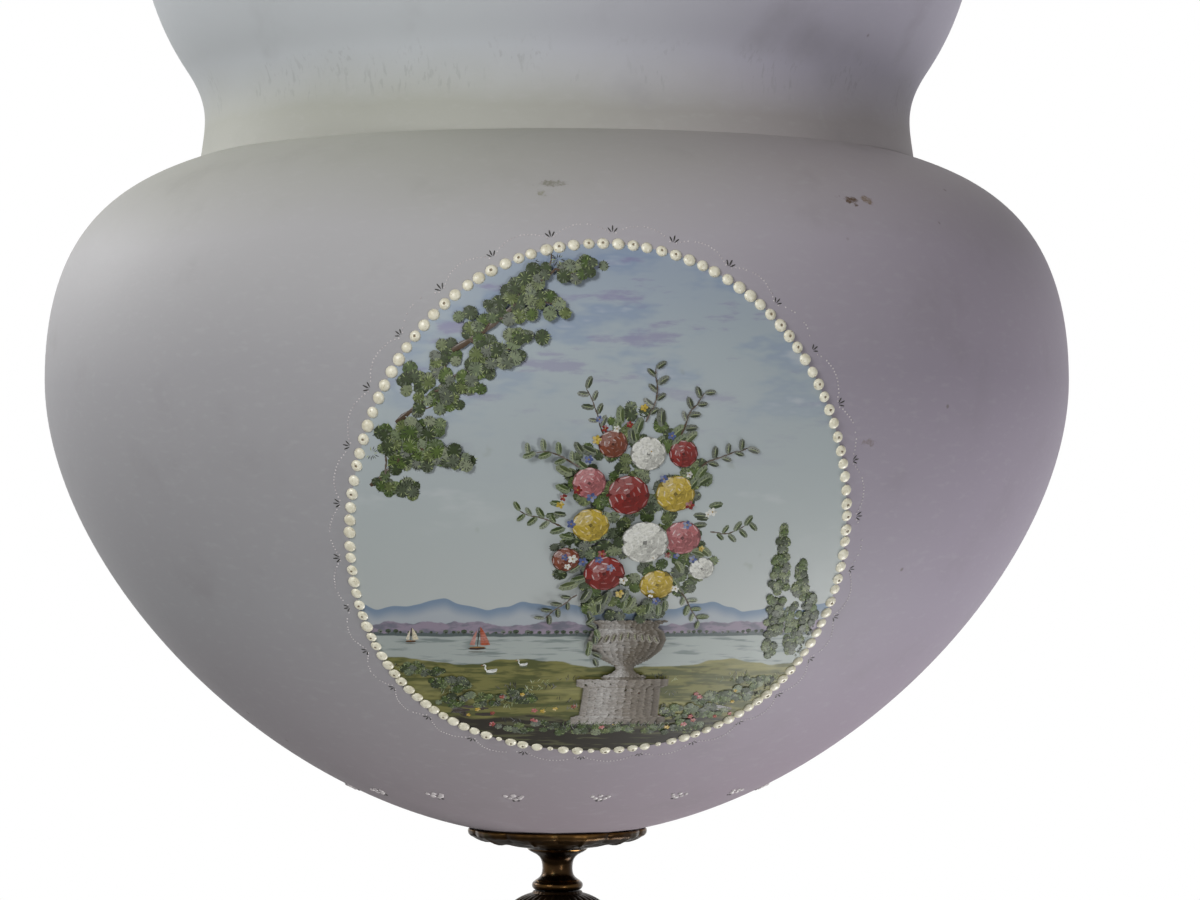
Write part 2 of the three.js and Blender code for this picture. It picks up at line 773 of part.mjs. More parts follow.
// A thumb screw, drawn along X: its tip bears on the glass under the collar's widest ring.
function gripScrew() {
  const tip = collarRadiusAt(gripHeight) + seatGap;
  const headFrom = galleryBead + gripHeadStandoff;
  const headTo = headFrom + gripHeadThickness;
  const shank = turnedSolid([
    [0, tip],
    [gripScrewRadius * 0.6, tip],
    [gripScrewRadius, tip + 1],
    [gripScrewRadius, headFrom + 0.5],
    [0, headFrom + 0.5],
  ], stemSides);
  const head = turnedSolid([
    [0, headFrom],
    [gripHeadRadius * 0.7, headFrom],
    [gripHeadRadius, headFrom + 1],
    [gripHeadRadius, headTo - 1],
    [gripHeadRadius * 0.8, headTo],
    [0, headTo + 0.8],
  ], gripFlutes * 2);
  const fluted = lobed(head, gripFlutes, (radius) => (radius > gripHeadRadius * 0.9 ? 0.8 : 0));
  return joined(shank, fluted).rotateY(Math.PI / 2);
}

add("gallery_ring", galleryRing(), agedBrass);
add("gallery_felt", galleryFelt(), felt);
gripTurns.forEach((turn, i) => {
  const screw = add("grip_screw_" + "abc"[i], gripScrew(), agedBrass);
  screw.rotation.z = turn;
  screw.position.z = gripLevel;
});

// Opaline bowl: one blown wall, with a ground hole at the bottom for the rod

function glassBowl() {
  const rimCentre = rimRadius - glassWall / 2;
  const lip = arc(rimCentre, bowlHeight - glassWall / 2, glassWall / 2, 0, 180, 2).slice(1);
  const section = [...bowlOutside, ...lip, ...[...bowlInside].reverse()];
  return turned(section, bowlSides).translate(0, 0, bowlBottom);
}

add("glass_bowl", glassBowl(), opaline);

// Bottom fittings, drawn with the glass's lowest point at zero and lowered together

const bottom = new THREE.Group();
bottom.position.z = bowlBottom;
lamp.add(bottom);

const clearOfRod = rodRadius + boreGap;
const innerFeltTop = glassInsideAt(feltRadius) + seatGap + feltThickness;
const innerPlateLow = innerFeltTop + seatGap;
const nutLow = innerPlateLow + innerPlateThickness + seatGap;
const rodTop = innerPlateLow + innerPlateThickness + rodAboveGlass;
const plateSeat = -feltThickness - 2 * seatGap;
const plateRim = glassBottomAt(plateRadius) - seatGap;
const plateUnder = plateSeat - plateThickness;
const spoolTop = plateUnder - seatGap;
const spoolBottom = spoolTop - spoolHeight;
const finialTop = spoolBottom - seatGap;
const rodBottom = finialTop - finialBore + seatGap;

// A cast leaf plate that follows the glass, dished for its felt.
function bottomPlate() {
  const outline = [
    [clearOfRod, plateSeat],
    [feltRadius + 1, plateSeat + glassBottomAt(feltRadius + 1)],
    [feltRadius + 2, glassBottomAt(feltRadius + 2) - seatGap],
    [plateRadius, plateRim],
    [plateRadius + 0.4, plateRim - plateLip * 0.6],
    [plateRadius - 0.8, plateRim - plateLip],
    [plateRadius * 0.82, plateUnder + plateDish],
    [plateRadius * 0.7, plateUnder + plateDish],
    [plateRadius * 0.48, plateUnder + plateDish * 0.35],
    [spoolTopRadius + 0.5, plateUnder],
    [clearOfRod, plateUnder],
  ];
  const edge = (radius, height) =>
    plateLobeDepth * THREE.MathUtils.smoothstep(radius, plateRadius * 0.6, plateRadius) * (height < plateRim ? 1 : 0.75);
  return lobed(turned(outline, plateLobes * lobeFacets), plateLobes, edge);
}

function outerFelt() {
  const gap = seatGap;
  return turned(
    [
      [clearOfRod, -gap - feltThickness],
      [feltRadius, glassBottomAt(feltRadius) - gap - feltThickness],
      [feltRadius, glassBottomAt(feltRadius) - gap],
      [clearOfRod, glassBottomAt(clearOfRod) - gap],
    ],
    bowlSides / 2,
  );
}

// The felt inside is flat on top, under the plate, and follows the glass below.
function innerFelt() {
  return turned(
    [
      [clearOfRod, glassInsideAt(clearOfRod) + seatGap],
      [feltRadius, glassInsideAt(feltRadius) + seatGap],
      [feltRadius, innerFeltTop],
      [clearOfRod, innerFeltTop],
    ],
    bowlSides / 2,
  );
}

function innerPlate() {
  const top = innerPlateLow + innerPlateThickness;
  return turned(
    [
      [clearOfRod, innerPlateLow],
      [innerPlateRadius - 1, innerPlateLow],
      [innerPlateRadius, innerPlateLow + 1],
      [innerPlateRadius - 1, top],
      [clearOfRod, top],
    ],
    bowlSides / 2,
  );
}

function hexNut() {
  const corner = nutAcrossFlats / 2 / Math.cos(Math.PI / 6);
  const body = new THREE.CylinderGeometry(corner, corner, nutHeight, 6).rotateX(Math.PI / 2);
  return cut(body.translate(0, 0, nutLow + nutHeight / 2), rod(clearOfRod, nutLow - 1, nutLow + nutHeight + 1));
}

// The turned spool between the plate and the finial.
function spool() {
  return turned(
    [
      [clearOfRod, spoolTop],
      [spoolTopRadius, spoolTop],
      [spoolTopRadius * 0.9, spoolTop - spoolTopHeight * 0.35],
      [spoolTopRadius * 0.66, spoolTop - spoolTopHeight * 0.85],
      [spoolWaistRadius + 0.3, spoolTop - spoolTopHeight * 1.45],
      [spoolWaistRadius, spoolTop - spoolWaistDrop],
      [spoolWaistRadius + 0.4, spoolTop - (spoolWaistDrop + spoolFlareDrop) * 0.52],
      [spoolFlareRadius, spoolTop - spoolFlareDrop],
      [collarBeadRadius - 0.4, spoolTop - spoolFlareDrop - 0.5],
      [collarBeadRadius, spoolBottom + 1.7],
      [collarBeadRadius - 0.6, spoolBottom],
      [clearOfRod, spoolBottom],
    ],
    smallSides,
  );
}

// A gadrooned ball, bored for the rod.
function finialBall() {
  const middle = finialTop - finialHeight * 0.45;
  const shape = [0.65, 1.1, 1.55, 2, 2.45].map((a) => {
    const height = a < 1.35 ? finialHeight * 0.45 : finialHeight * 0.55;
    return [Math.max(finialRadius * Math.sin(a), finialTopRadius * 0.75), middle + height * Math.cos(a)];
  });
  const outline = [
    [0, finialTop],
    [finialTopRadius, finialTop],
    ...shape.filter(([r]) => r > finialTopRadius),
    [finialTopRadius * 0.7, finialTop - finialHeight],
    [0, finialTop - finialHeight],
  ];
  const fluteAt = (radius) => finialFluteDepth * THREE.MathUtils.smoothstep(radius, finialTopRadius, finialRadius * 0.8);
  const ball = lobed(turnedSolid(outline, finialFlutes * lobeFacets), finialFlutes, fluteAt);
  return cut(ball, rod(clearOfRod, finialTop - finialBore, finialTop + 1));
}

function finialTip() {
  const top = finialTop - finialHeight - seatGap;
  return turnedSolid([
    [0, top],
    [tipRadius, top],
    [tipRadius + 0.6, top - 1.2],
    [tipRadius * 0.6, top - tipHeight * 0.25],
    [tipRadius * 0.5, top - tipHeight * 0.4],
    [tipRadius * 0.8, top - tipHeight * 0.6],
    [tipRadius * 0.75, top - tipHeight * 0.78],
    [tipRadius * 0.3, top - tipHeight * 0.97],
    [0, top - tipHeight],
  ], smallSides);
}

add("bottom_plate", bottomPlate(), agedBrass, bottom);
add("outer_felt", outerFelt(), felt, bottom);
add("inner_felt", innerFelt(), felt, bottom);
add("inner_plate", innerPlate(), plainMetal, bottom);
add("rod_nut", hexNut(), plainMetal, bottom);
add("centre_rod", rod(rodRadius, rodBottom, rodTop), plainMetal, bottom);
add("spool", spool(), agedBrass, bottom);
add("finial_ball", finialBall(), agedBrass, bottom);
add("finial_tip", finialTip(), agedBrass, bottom);

// Lampholder on the rod, and its bulb

const capLow = nutLow + nutHeight + seatGap;
const capTop = capLow + holderCapHeight;
const shellLow = capTop + seatGap;
const insertSeat = capLow + holderCapHeight * 0.62;
const insertLow = insertSeat + seatGap;
const insertRadius = holderRadius - holderWall - seatGap;
const socketFloor = insertLow + insertHeight - socketDepth;

// A domed cup that screws on the rod.
function holderCap() {
  return turned(
    [
      [clearOfRod, capLow],
      [holderRadius * 0.5, capLow],
      [holderRadius * 0.82, capLow + holderCapHeight * 0.25],
      [holderRadius, capLow + holderCapHeight * 0.6],
      [holderRadius, capTop],
      [holderRadius - holderWall, capTop],
      [holderRadius - holderWall, insertSeat],
      [holderRadius - holderWall - insertLedge, insertSeat],
      [holderRadius * 0.82 - holderWall, capLow + holderCapHeight * 0.25 + holderWall],
      [clearOfRod, capLow + holderWall + 0.5],
    ],
    smallSides,
  );
}

function holderShell() {
  const top = shellLow + holderShellHeight;
  return turned(
    [
      [holderRadius - holderWall, shellLow],
      [holderRadius, shellLow],
      [holderRadius, top - 3],
      [holderRadius + 1.2, top - 1.5],
      [holderRadius + 1.2, top],
      [holderRadius - holderWall, top],
    ],
    smallSides,
  );
}

function holderInsert() {
  const top = insertLow + insertHeight;
  return turnedSolid(
    [
      [0, insertLow],
      [insertRadius, insertLow],
      [insertRadius, top],
      [capRadius + 2 * seatGap, top],
      [capRadius + 2 * seatGap, socketFloor],
      [0, socketFloor],
    ],
    smallSides,
  );
}

const bulbCapLow = socketFloor + seatGap;
const bulbCapTop = bulbCapLow + contactHeight + capHeight;

function bulbCap() {
  const shoulder = bulbCapLow + contactHeight;
  const ridge = (share) => shoulder + capHeight * share;
  return turnedSolid(
    [
      [0, bulbCapLow],
      [contactRadius, bulbCapLow],
      [contactRadius + 2, shoulder - 0.5],
      [capRadius - 1.5, shoulder + 1.5],
      ...[0.3, 0.52].flatMap((share) => [
        [capRadius, ridge(share)],
        [capRadius - 0.9, ridge(share + 0.07)],
      ]),
      [capRadius, ridge(0.78)],
      [capRadius, bulbCapTop],
      [0, bulbCapTop],
    ],
    smallSides,
  );
}

// A pear-shaped envelope, open at its neck.
function bulbGlass() {
  const low = bulbCapTop + seatGap;
  const globe = low + bulbHeight - bulbRadius;
  const flank = new THREE.CubicBezierCurve(
    at(bulbNeckRadius, low),
    at(bulbNeckRadius, low + bulbHeight * 0.25),
    at(bulbRadius, globe - bulbRadius * 0.75),
    at(bulbRadius, globe),
  );
  const outside = [...stretch(flank, 3), ...arc(0, globe, bulbRadius, 0, 90, 3).slice(1)];
  const inside = [...stretch(flank, 3, bulbWall), ...arc(0, globe, bulbRadius - bulbWall, 0, 90, 2).slice(1)];
  outside[outside.length - 1].x = 0;
  inside[inside.length - 1].x = 0;
  return turned([...outside, ...inside.reverse()], smallSides);
}

add("lampholder_cap", holderCap(), agedBrass, bottom);
add("lampholder_insert", holderInsert(), porcelain, bottom);
add("lampholder_shell", holderShell(), agedBrass, bottom);
add("bulb_cap", bulbCap(), plainMetal, bottom);
add("bulb_glass", bulbGlass(), clearGlass, bottom);

export default lamp;
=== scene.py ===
import random
from bisect import bisect_left
from math import atan2, copysign, cos, exp, floor, hypot, pi, radians, sin, sqrt

import bmesh
import bpy
from bmesh.types import BMEdge, BMVert
from bpy.props import FloatProperty, FloatVectorProperty, IntProperty, PointerProperty
from mathutils import Color, Matrix, Vector
from mathutils.geometry import interpolate_bezier


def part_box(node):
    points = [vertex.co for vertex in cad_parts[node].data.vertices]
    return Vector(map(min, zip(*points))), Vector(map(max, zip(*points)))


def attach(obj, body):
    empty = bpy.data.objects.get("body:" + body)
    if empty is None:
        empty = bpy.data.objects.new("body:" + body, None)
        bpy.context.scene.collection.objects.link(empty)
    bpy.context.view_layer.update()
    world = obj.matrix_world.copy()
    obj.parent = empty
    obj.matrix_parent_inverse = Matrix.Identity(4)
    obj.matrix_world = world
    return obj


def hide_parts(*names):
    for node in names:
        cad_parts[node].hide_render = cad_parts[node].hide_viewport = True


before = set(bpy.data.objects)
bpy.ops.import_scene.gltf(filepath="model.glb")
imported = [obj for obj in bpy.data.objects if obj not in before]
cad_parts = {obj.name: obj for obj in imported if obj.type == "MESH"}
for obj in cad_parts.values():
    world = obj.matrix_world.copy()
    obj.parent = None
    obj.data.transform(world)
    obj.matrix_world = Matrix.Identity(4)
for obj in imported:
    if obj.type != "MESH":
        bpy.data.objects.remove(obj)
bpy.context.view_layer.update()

bl_info = {
    "name": "Opaline hanging lamp",
    "version": (1, 0, 0),
    "blender": (4, 5, 0),
    "location": "3D View > Sidebar > Lamp",
    "description": "Dresses an opaline glass hanging lamp around its packed model",
    "category": "Object",
}

MM = 0.001
TURN = 2 * pi
QUARTER = TURN / 4
LETTERS = "abc"


def levels(node):
    """A node's lowest and highest level, millimetres."""
    low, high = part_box(node)
    return low.z / MM, high.z / MM


def centre(node):
    """The middle of a node, millimetres."""
    low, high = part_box(node)
    return (low + high) / (2 * MM)


def srgb(red, green, blue):
    """A colour from numbers up to 255, as Blender's linear one."""
    return (*Color((red / 255, green / 255, blue / 255)).from_srgb_to_scene_linear(), 1.0)


def rotated(angle, axis="Z"):
    return Matrix.Rotation(angle, 4, axis)


def shifted(x, y, z):
    return Matrix.Translation((x, y, z))


def outwards(turn, radius, rise=0.0):
    """A place round the lamp's axis, with X pointing away from it."""
    return rotated(turn) @ shifted(radius, 0, rise)


def share_of(value, low, high):
    """Where a value lies between two others, from 0 to 1."""
    return min(max((value - low) / (high - low), 0), 1)


def axes_of(x, y, z):
    """The rotation that lays the three axes along three directions."""
    return Matrix((x, y, z)).transposed().to_4x4()


def of_three(k, start=90):
    """The turn of one of three like parts, the first at a start in degrees."""
    return radians(start + 120 * k)


# Sections are points of radius and height, millimetres


def bezier(start, first, second, end, steps):
    """Points on a curve between two places, drawn towards two others."""
    knots = [Vector((x, y, 0)) for x, y in (start, first, second, end)]
    return [(p.x, p.y) for p in interpolate_bezier(*knots, steps + 1)]


def arc(x, y, radius, start, end, steps):
    """Points on an arc, its angles in degrees from the X axis."""
    angles = [radians(start + (end - start) * k / steps) for k in range(steps + 1)]
    return [(x + radius * cos(a), y + radius * sin(a)) for a in angles]


def leaning(point, angle, distance):
    """A point at a distance from another, at an angle in degrees from upright, outwards."""
    a = radians(angle)
    return (point[0] + distance * sin(a), point[1] + distance * cos(a))


def eased(section, radius, steps=3, sharp=15):
    """A section with its corners rounded off. Its points on the axis stay."""
    points = [Vector(p) for p in section]
    made = []
    for k, here in enumerate(points):
        back = points[k - 1] - here
        on = points[(k + 1) % len(points)] - here
        straight = min(back.length, on.length) < 1e-4 or back.angle(on) > radians(180 - sharp)
        if here.x < 1e-6 or straight:
            made.append(tuple(here))
            continue
        first = here + back.normalized() * min(radius, back.length * 0.45)
        last = here + on.normalized() * min(radius, on.length * 0.45)
        for i in range(steps + 1):
            t = i / steps
            made.append(tuple(first.lerp(here, t).lerp(here.lerp(last, t), t)))
    return made


def moved(section, rise):
    """A section whose heights are from another level."""
    return [(x, y + rise) for x, y in section]


# The bowl, from its lowest point up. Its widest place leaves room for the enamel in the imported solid

BOWL_HEIGHT = 338.0
BOWL_BOTTOM = levels("glass_bowl")[1] - BOWL_HEIGHT
GLASS_HOLE = 7.5
WIDEST = (177.8, 158.5)
CREASE = (124.6, 234.7)
FLARE = (129.5, 267.0)
COLLAR = (145.8, 320.0)
RIM = (144.0, 336.0)
LIP = 2.0
BOWL_SECTION = (
    bezier((0, 0), (91.4, 0), (WIDEST[0], 90.5), WIDEST, 64)
    + bezier(WIDEST, (WIDEST[0], 209.0), leaning(CREASE, 107, 30.9), CREASE, 36)[1:]
    + bezier(CREASE, leaning(CREASE, -7.3, 12.4), leaning(FLARE, 34, -16), FLARE, 18)[1:]
    + bezier(FLARE, leaning(FLARE, 34, 17.7), (145.8, 299.6), COLLAR, 20)[1:]
    + bezier(COLLAR, (145.8, 326.0), (145.2, 331.0), RIM, 5)[1:]
)


class Meridian:
    """Places along the bowl's section, by their distance from its lowest point."""

    def __init__(self, section):
        self.section = section
        self.reach = [0.0]
        for (r0, z0), (r1, z1) in zip(section, section[1:]):
            self.reach.append(self.reach[-1] + hypot(r1 - r0, z1 - z0))

    def at(self, distance):
        """Radius, height, and the section's direction there."""
        k = min(max(bisect_left(self.reach, distance), 1), len(self.reach) - 1)
        (r0, z0), (r1, z1) = self.section[k - 1], self.section[k]
        step = self.reach[k] - self.reach[k - 1]
        share = (distance - self.reach[k - 1]) / step
        return r0 + (r1 - r0) * share, z0 + (z1 - z0) * share, (r1 - r0) / step, (z1 - z0) / step

    def reach_to(self, value, axis=1):
        """The distance at which the rising section first comes to a height, or to a radius."""
        k = next(i for i, point in enumerate(self.section) if i and point[axis] >= value)
        low, high = self.section[k - 1][axis], self.section[k][axis]
        return self.reach[k - 1] + (self.reach[k] - self.reach[k - 1]) * (value - low) / (high - low)


MERIDIAN = Meridian(BOWL_SECTION)


def glass_height(radius):
    """The height of the bowl's outside at a radius, near its bottom."""
    return MERIDIAN.at(MERIDIAN.reach_to(radius, 0))[1]


def on_glass(turn, distance, lift=0.0):
    """A place on the glass and its outward direction. The turn runs from the front towards +X."""
    r, z, dr, dz = MERIDIAN.at(distance)
    outward = Vector((dz * sin(turn), -dz * cos(turn), -dr))
    return Vector((r * sin(turn), -r * cos(turn), z + BOWL_BOTTOM)) + outward * lift, outward


def facing(turn, distance, spin=0.0, lift=0.0):
    """Where a small ornament stands on the glass: X along a level ring, Y up the glass, Z outward."""
    place, outward = on_glass(turn, distance, lift)
    along = Vector((cos(turn), sin(turn), 0))
    axes = axes_of(along, outward.cross(along), outward)
    return Matrix.Translation(place) @ axes @ rotated(spin)


# Finishes


class Amount:
    """A number that changes over a surface. Arithmetic on it adds Math nodes."""

    def __init__(self, nodes, socket):
        self.nodes = nodes
        self.socket = socket

    def math(self, operation, first, second):
        return self.nodes.amount("Math", {"operation": operation}, {0: first, 1: second})

    def __add__(self, other):
        return self.math("ADD", self, other)

    __radd__ = __add__

    def __sub__(self, other):
        return self.math("SUBTRACT", self, other)

    def __rsub__(self, other):
        return self.math("SUBTRACT", other, self)

    def __mul__(self, other):
        return self.math("MULTIPLY", self, other)

    __rmul__ = __mul__

    def __truediv__(self, other):
        return self.math("DIVIDE", self, other)

    def __pow__(self, other):
        return self.math("POWER", self, other)

    def least(self, other):
        return self.math("MINIMUM", self, other)

    def most(self, other):
        return self.math("MAXIMUM", self, other)

    def rising(self, low, high):
        """0 below the low number, 1 above the high one, and smooth between."""
        ramp = {"interpolation_type": "SMOOTHSTEP"}
        return self.nodes.amount("MapRange", ramp, {0: self, 1: low, 2: high})


class Nodes:
    """The nodes of a material or of the world."""

    def __init__(self, tree):
        self.tree = tree

    def node(self, kind, settings, values, output=0):
        """Adds a shader node, sets it, and fills or links its sockets."""
        node = self.tree.nodes.new("ShaderNode" + kind)
        for key, value in settings.items():
            if key == "stops":
                self.fill_ramp(node.color_ramp, value)
            else:
                setattr(node, key, value)
        self.feed(node, values)
        return node.outputs[output]

    def fill_ramp(self, ramp, stops):
        while len(ramp.elements) < len(stops):
            ramp.elements.new(1.0)
        for element, (position, colour) in zip(ramp.elements, stops):
            element.position = position
            element.color = colour

    def feed(self, node, values):
        for key, value in values.items():
            value = value.socket if isinstance(value, Amount) else value
            if isinstance(value, bpy.types.NodeSocket):
                self.tree.links.new(value, node.inputs[key])
            else:
                node.inputs[key].default_value = value

    def amount(self, kind, settings, values, output=0):
        return Amount(self, self.node(kind, settings, values, output))


class Finish(Nodes):
    """A material that is built up from nodes."""

    def __init__(self, name, **constants):
        self.material = bpy.data.materials.new(name)
        self.material.use_nodes = True
        super().__init__(self.material.node_tree)
        self.shader = self.tree.nodes["Principled BSDF"]
        for key, value in constants.items():
            self.shader.inputs[key.replace("_", " ")].default_value = value
        self.place = self.node("TexCoord", {}, {}, "Object")

    def split(self, vector):
        """The three numbers of a vector."""
        node = self.node("SeparateXYZ", {}, {0: vector}).node
        return [Amount(self, socket) for socket in node.outputs]

    def joined(self, x, y=0.0, z=0.0):
        return self.node("CombineXYZ", {}, {0: x, 1: y, 2: z})

    def stretched(self, scale, vector=None):
        """The place on the piece, with its three axes scaled."""
        settings = {"operation": "MULTIPLY"}
        return self.node("VectorMath", settings, {0: vector or self.place, 1: scale})

    def noise(self, size, detail=2.0, vector=None, roughness=0.55):
        """Clouds of about a size in millimetres, from 0 to 1."""
        values = {"Vector": vector or self.place, "Scale": 1000 / size, "Detail": detail}
        return self.amount("TexNoise", {}, {**values, "Roughness": roughness})

    def flat_noise(self, x, size, seed, detail=2.0):
        """Clouds along one number in millimetres, from 0 to 1."""
        values = {"Vector": self.joined(x, seed), "Scale": 1 / size, "Detail": detail}
        return self.amount("TexNoise", {}, values)

    def cells(self, size, vector=None):
        """How far a place is from the middle of its cell, in cells."""
        values = {"Vector": vector or self.place, "Scale": 1000 / size}
        return self.amount("TexVoronoi", {}, values, "Distance")

    def attribute(self, name, output="Fac"):
        settings = {"attribute_type": "GEOMETRY", "attribute_name": name}
        return self.amount("Attribute", settings, {}, output)

    def mixed(self, share, first, second, blend="MIX"):
        """Two colours mixed, the second by its share."""
        settings = {"data_type": "RGBA", "blend_type": blend}
        return self.node("Mix", settings, {0: share, 6: first, 7: second}, 2)

    def layered(self, colour, *layers):
        """Colours laid over a first one, each by its share."""
        for share, over in layers:
            colour = self.mixed(share, colour, over)
        return colour

    def ramp(self, share, stops):
        return self.node("ValToRGB", {"stops": stops}, {0: share})

    def grain(self, height, distance):
        """Feeds a relief of a depth in millimetres to the shader."""
        values = {"Height": height, "Distance": distance * MM, "Strength": 1.0}
        self.feed(self.shader, {"Normal": self.node("Bump", {}, values)})

    def surface(self, colour, roughness=None):
        self.feed(self.shader, {"Base Color": colour})
        if roughness is not None:
            self.feed(self.shader, {"Roughness": roughness})


# Stains on the glass: degrees round from the front, height, width, depth in millimetres, colour, strength

STAINS = (
    (34.6, 210.8, 3.6, 1.5, srgb(78, 56, 30), 0.95),
    (36.9, 211.4, 2.6, 1.1, srgb(110, 88, 54), 0.8),
    (-0.6, 213.8, 3.8, 1.2, srgb(104, 102, 80), 0.6),
    (-1.8, 210.8, 1.4, 2.6, srgb(128, 128, 104), 0.6),
    (34, 134, 2.2, 1.6, srgb(110, 96, 84), 0.5),
    (-128, 170, 5.5, 2.0, srgb(96, 74, 44), 0.7),
    (154, 226, 3.4, 1.6, srgb(104, 102, 80), 0.6),
)


def opaline():
    """Satin opal glass, white within and lilac without, with faint clouds, rubs and stains, painted shade on
    the right of the collar and a painted glow on its inner face.
    """
    glass = bpy.context.scene.lamp_glass
    # The emission strength is that of the painted glow on the inner face
    made = Finish("opaline", IOR=1.45, Specular_IOR_Level=0.2, Emission_Strength=0.06)
    x, y, z = made.split(made.place)
    height = z * 1000 - BOWL_BOTTOM
    wide = made.noise(140, 2.0)
    cloud = made.noise(34, 4.0)
    fine = made.noise(5, 3.0, made.stretched((1, 1, 2.5)))
    tints = (
        (0.02, glass.low), (0.24, glass.body), (0.46, glass.body), (0.58, glass.shoulder),
        (0.66, glass.crease), (0.715, glass.waist), (0.77, glass.collar),
    )
    share = (height + wide * 16 + cloud * 10 - 13) / 340
    ground = made.ramp(share, [(place, (*tint, 1.0)) for place, tint in tints])
    side = (x * 1000 + wide * 90 - 45).rising(-50, 150)
    ground = made.mixed(side, ground, (*glass.blush, 1.0), "MULTIPLY")
    # Painted shade: the right side of the collar is darkened, as if the bowl's shoulder shaded it from the
    # low light
    shaded_collar_side = (x * 1000).rising(60, 135) * height.rising(236, 262)
    specks = made.cells(21).rising(0.05, 0.02) * made.noise(90, 1.0).rising(0.5, 0.6)
    scratches = made.noise(1.5, 3.0, made.stretched((1, 1, 0.3)))
    rubs = scratches.rising(0.54, 0.66) * made.noise(24, 2.0).rising(0.46, 0.6)
    rubs = rubs * height.rising(245, 250) * height.rising(266, 259)
    ground = made.layered(
        ground,
        (shaded_collar_side * 0.4, srgb(112, 108, 118)),
        (cloud.rising(0.52, 0.8) * 0.22, srgb(116, 112, 112)),
        (fine.rising(0.5, 0.8) * 0.10, srgb(196, 196, 198)),
        (specks * 0.55, srgb(92, 82, 66)),
        (rubs * 0.17, srgb(104, 100, 100)),
    )
    mottle = made.noise(1.0, 2.0).rising(0.3, 0.6) * 0.6 + 0.4
    ragged = (fine + made.noise(1.6, 3.0) - 1.0) * 2.4
    for degrees, level, wide_by, high_by, colour, strength in STAINS:
        middle = on_glass(radians(degrees), MERIDIAN.reach_to(level))[0] * MM
        scale = (1000 / wide_by, 1000 / wide_by, 1000 / high_by)
        values = {0: made.stretched(scale), 1: [a * b for a, b in zip(middle, scale)]}
        away = made.amount("VectorMath", {"operation": "DISTANCE"}, values, "Value")
        ground = made.mixed((away + ragged).rising(1.2, 0.5) * mottle * strength, ground, colour)
    # Within, the wall is white, and a painted glow on the inner face stands in for the daylight that comes
    # through the glass
    inner = made.attribute("inner")
    ground = made.mixed(inner, ground, srgb(222, 224, 228))
    made.feed(made.shader, {"Emission Color": made.mixed(inner, srgb(0, 0, 0), srgb(226, 228, 236))})
    made.surface(ground, 0.5 + fine * 0.16)
    made.grain(made.noise(1.1, 2.0) + cloud * 2, 0.02)
    return made


def picture_ground():
    """The painted ground of the oval: sky, far hills, water, meadow and a dark foreground.

    The lands are laid over each other from far to near, each with a ridge in millimetres from the middle.
    """
    made = Finish("enamel_picture", Specular_IOR_Level=0.25, IOR=1.5)
    across, up, _ = made.split(made.node("UVMap", {"uv_map": "picture"}, {}))
    x = across * PICTURE_SPAN - PICTURE_SPAN / 2
    y = up * PICTURE_SPAN - PICTURE_SPAN / 2
    flat = made.joined(x * MM, y * MM)
    soft = made.noise(26, 4.0, made.stretched((0.55, 1.4, 1), flat), 0.6)
    wisps = made.noise(13, 5.0, made.stretched((0.4, 1.6, 1), flat), 0.62)
    haze, pale = srgb(172, 176, 174), srgb(166, 173, 173)
    blue, deep = srgb(158, 168, 173), srgb(138, 150, 168)
    sky = made.ramp(up, [(0.3, haze), (0.52, pale), (0.8, blue), (1.0, deep)])
    high = y.rising(10, 78)
    sky = made.layered(
        sky,
        (soft.rising(0.47, 0.63) * high * 0.8, srgb(116, 134, 162)),
        (wisps.rising(0.53, 0.65) * high * 0.6, srgb(126, 116, 152)),
        (soft.rising(0.56, 0.66) * y.rising(-10, 30) * 0.5, srgb(192, 196, 196)),
        (made.noise(17, 3.0, flat).rising(0.66, 0.76) * 0.5, srgb(120, 122, 104)),
    )

    def below(ridge, colour, under, edge=0.5):
        return made.mixed((ridge - y).rising(0, edge), under, colour)

    rough = made.noise(3.2, 3.0, made.stretched((0.45, 1, 1), flat))
    streak = made.noise(2.4, 3.0, made.stretched((0.16, 1, 1), flat))
    far = made.flat_noise(x, 21, 3.1) * 17 - 34
    far_colour = made.mixed((far - y).rising(0.5, 6), srgb(112, 130, 150), srgb(156, 162, 168))
    land = below(far, far_colour, sky, 0.35)
    near = made.flat_noise(x, 11, 8.4, 3.0) * 9 - 36.5
    near_colour = made.mixed(rough.rising(0.45, 0.61), srgb(134, 124, 138), srgb(104, 104, 116))
    land = below(near, near_colour, land)
    shore = made.flat_noise(x, 2.6, 5.2, 3.0) * 3.4 - 37.6
    land = below(shore, srgb(78, 88, 88), land)
    water = made.mixed(streak.rising(0.5, 0.64), srgb(154, 161, 158), srgb(116, 126, 124))
    land = below(made.flat_noise(x, 9, 1.7) * 1.6 - 38.2, water, land, 0.4)
    meadow = made.layered(
        srgb(112, 110, 62),
        (streak.rising(0.44, 0.58), srgb(74, 78, 40)),
        (rough.rising(0.55, 0.69) * 0.6, srgb(60, 64, 34)),
        (soft.rising(0.52, 0.62) * 0.5, srgb(146, 142, 92)),
    )
    bank = made.flat_noise(x, 27, 6.6) * 15 - 57 + rough * 1.6
    land = below(bank, meadow, land, 0.7)
    ground = made.mixed(streak.rising(0.5, 0.6), srgb(38, 34, 26), srgb(76, 76, 52))
    land = below(made.flat_noise(x, 24, 9.3) * 14 - 83 + rough * 3, ground, land, 2.2)
    made.surface(land, 0.42 + rough * 0.14)
    made.grain(rough, 0.01)
    return made


def enamel():
    """Brush touches of enamel, each with its own colour."""
    made = Finish("enamel_touches", Specular_IOR_Level=0.25)
    paint = made.attribute("paint", "Color").socket
    mottle = made.noise(0.7, 2.0)
    made.surface(made.mixed(mottle.rising(0.4, 0.75) * 0.35, paint, srgb(36, 34, 30)), 0.42 + mottle * 0.14)
    made.grain(mottle, 0.02)
    return made


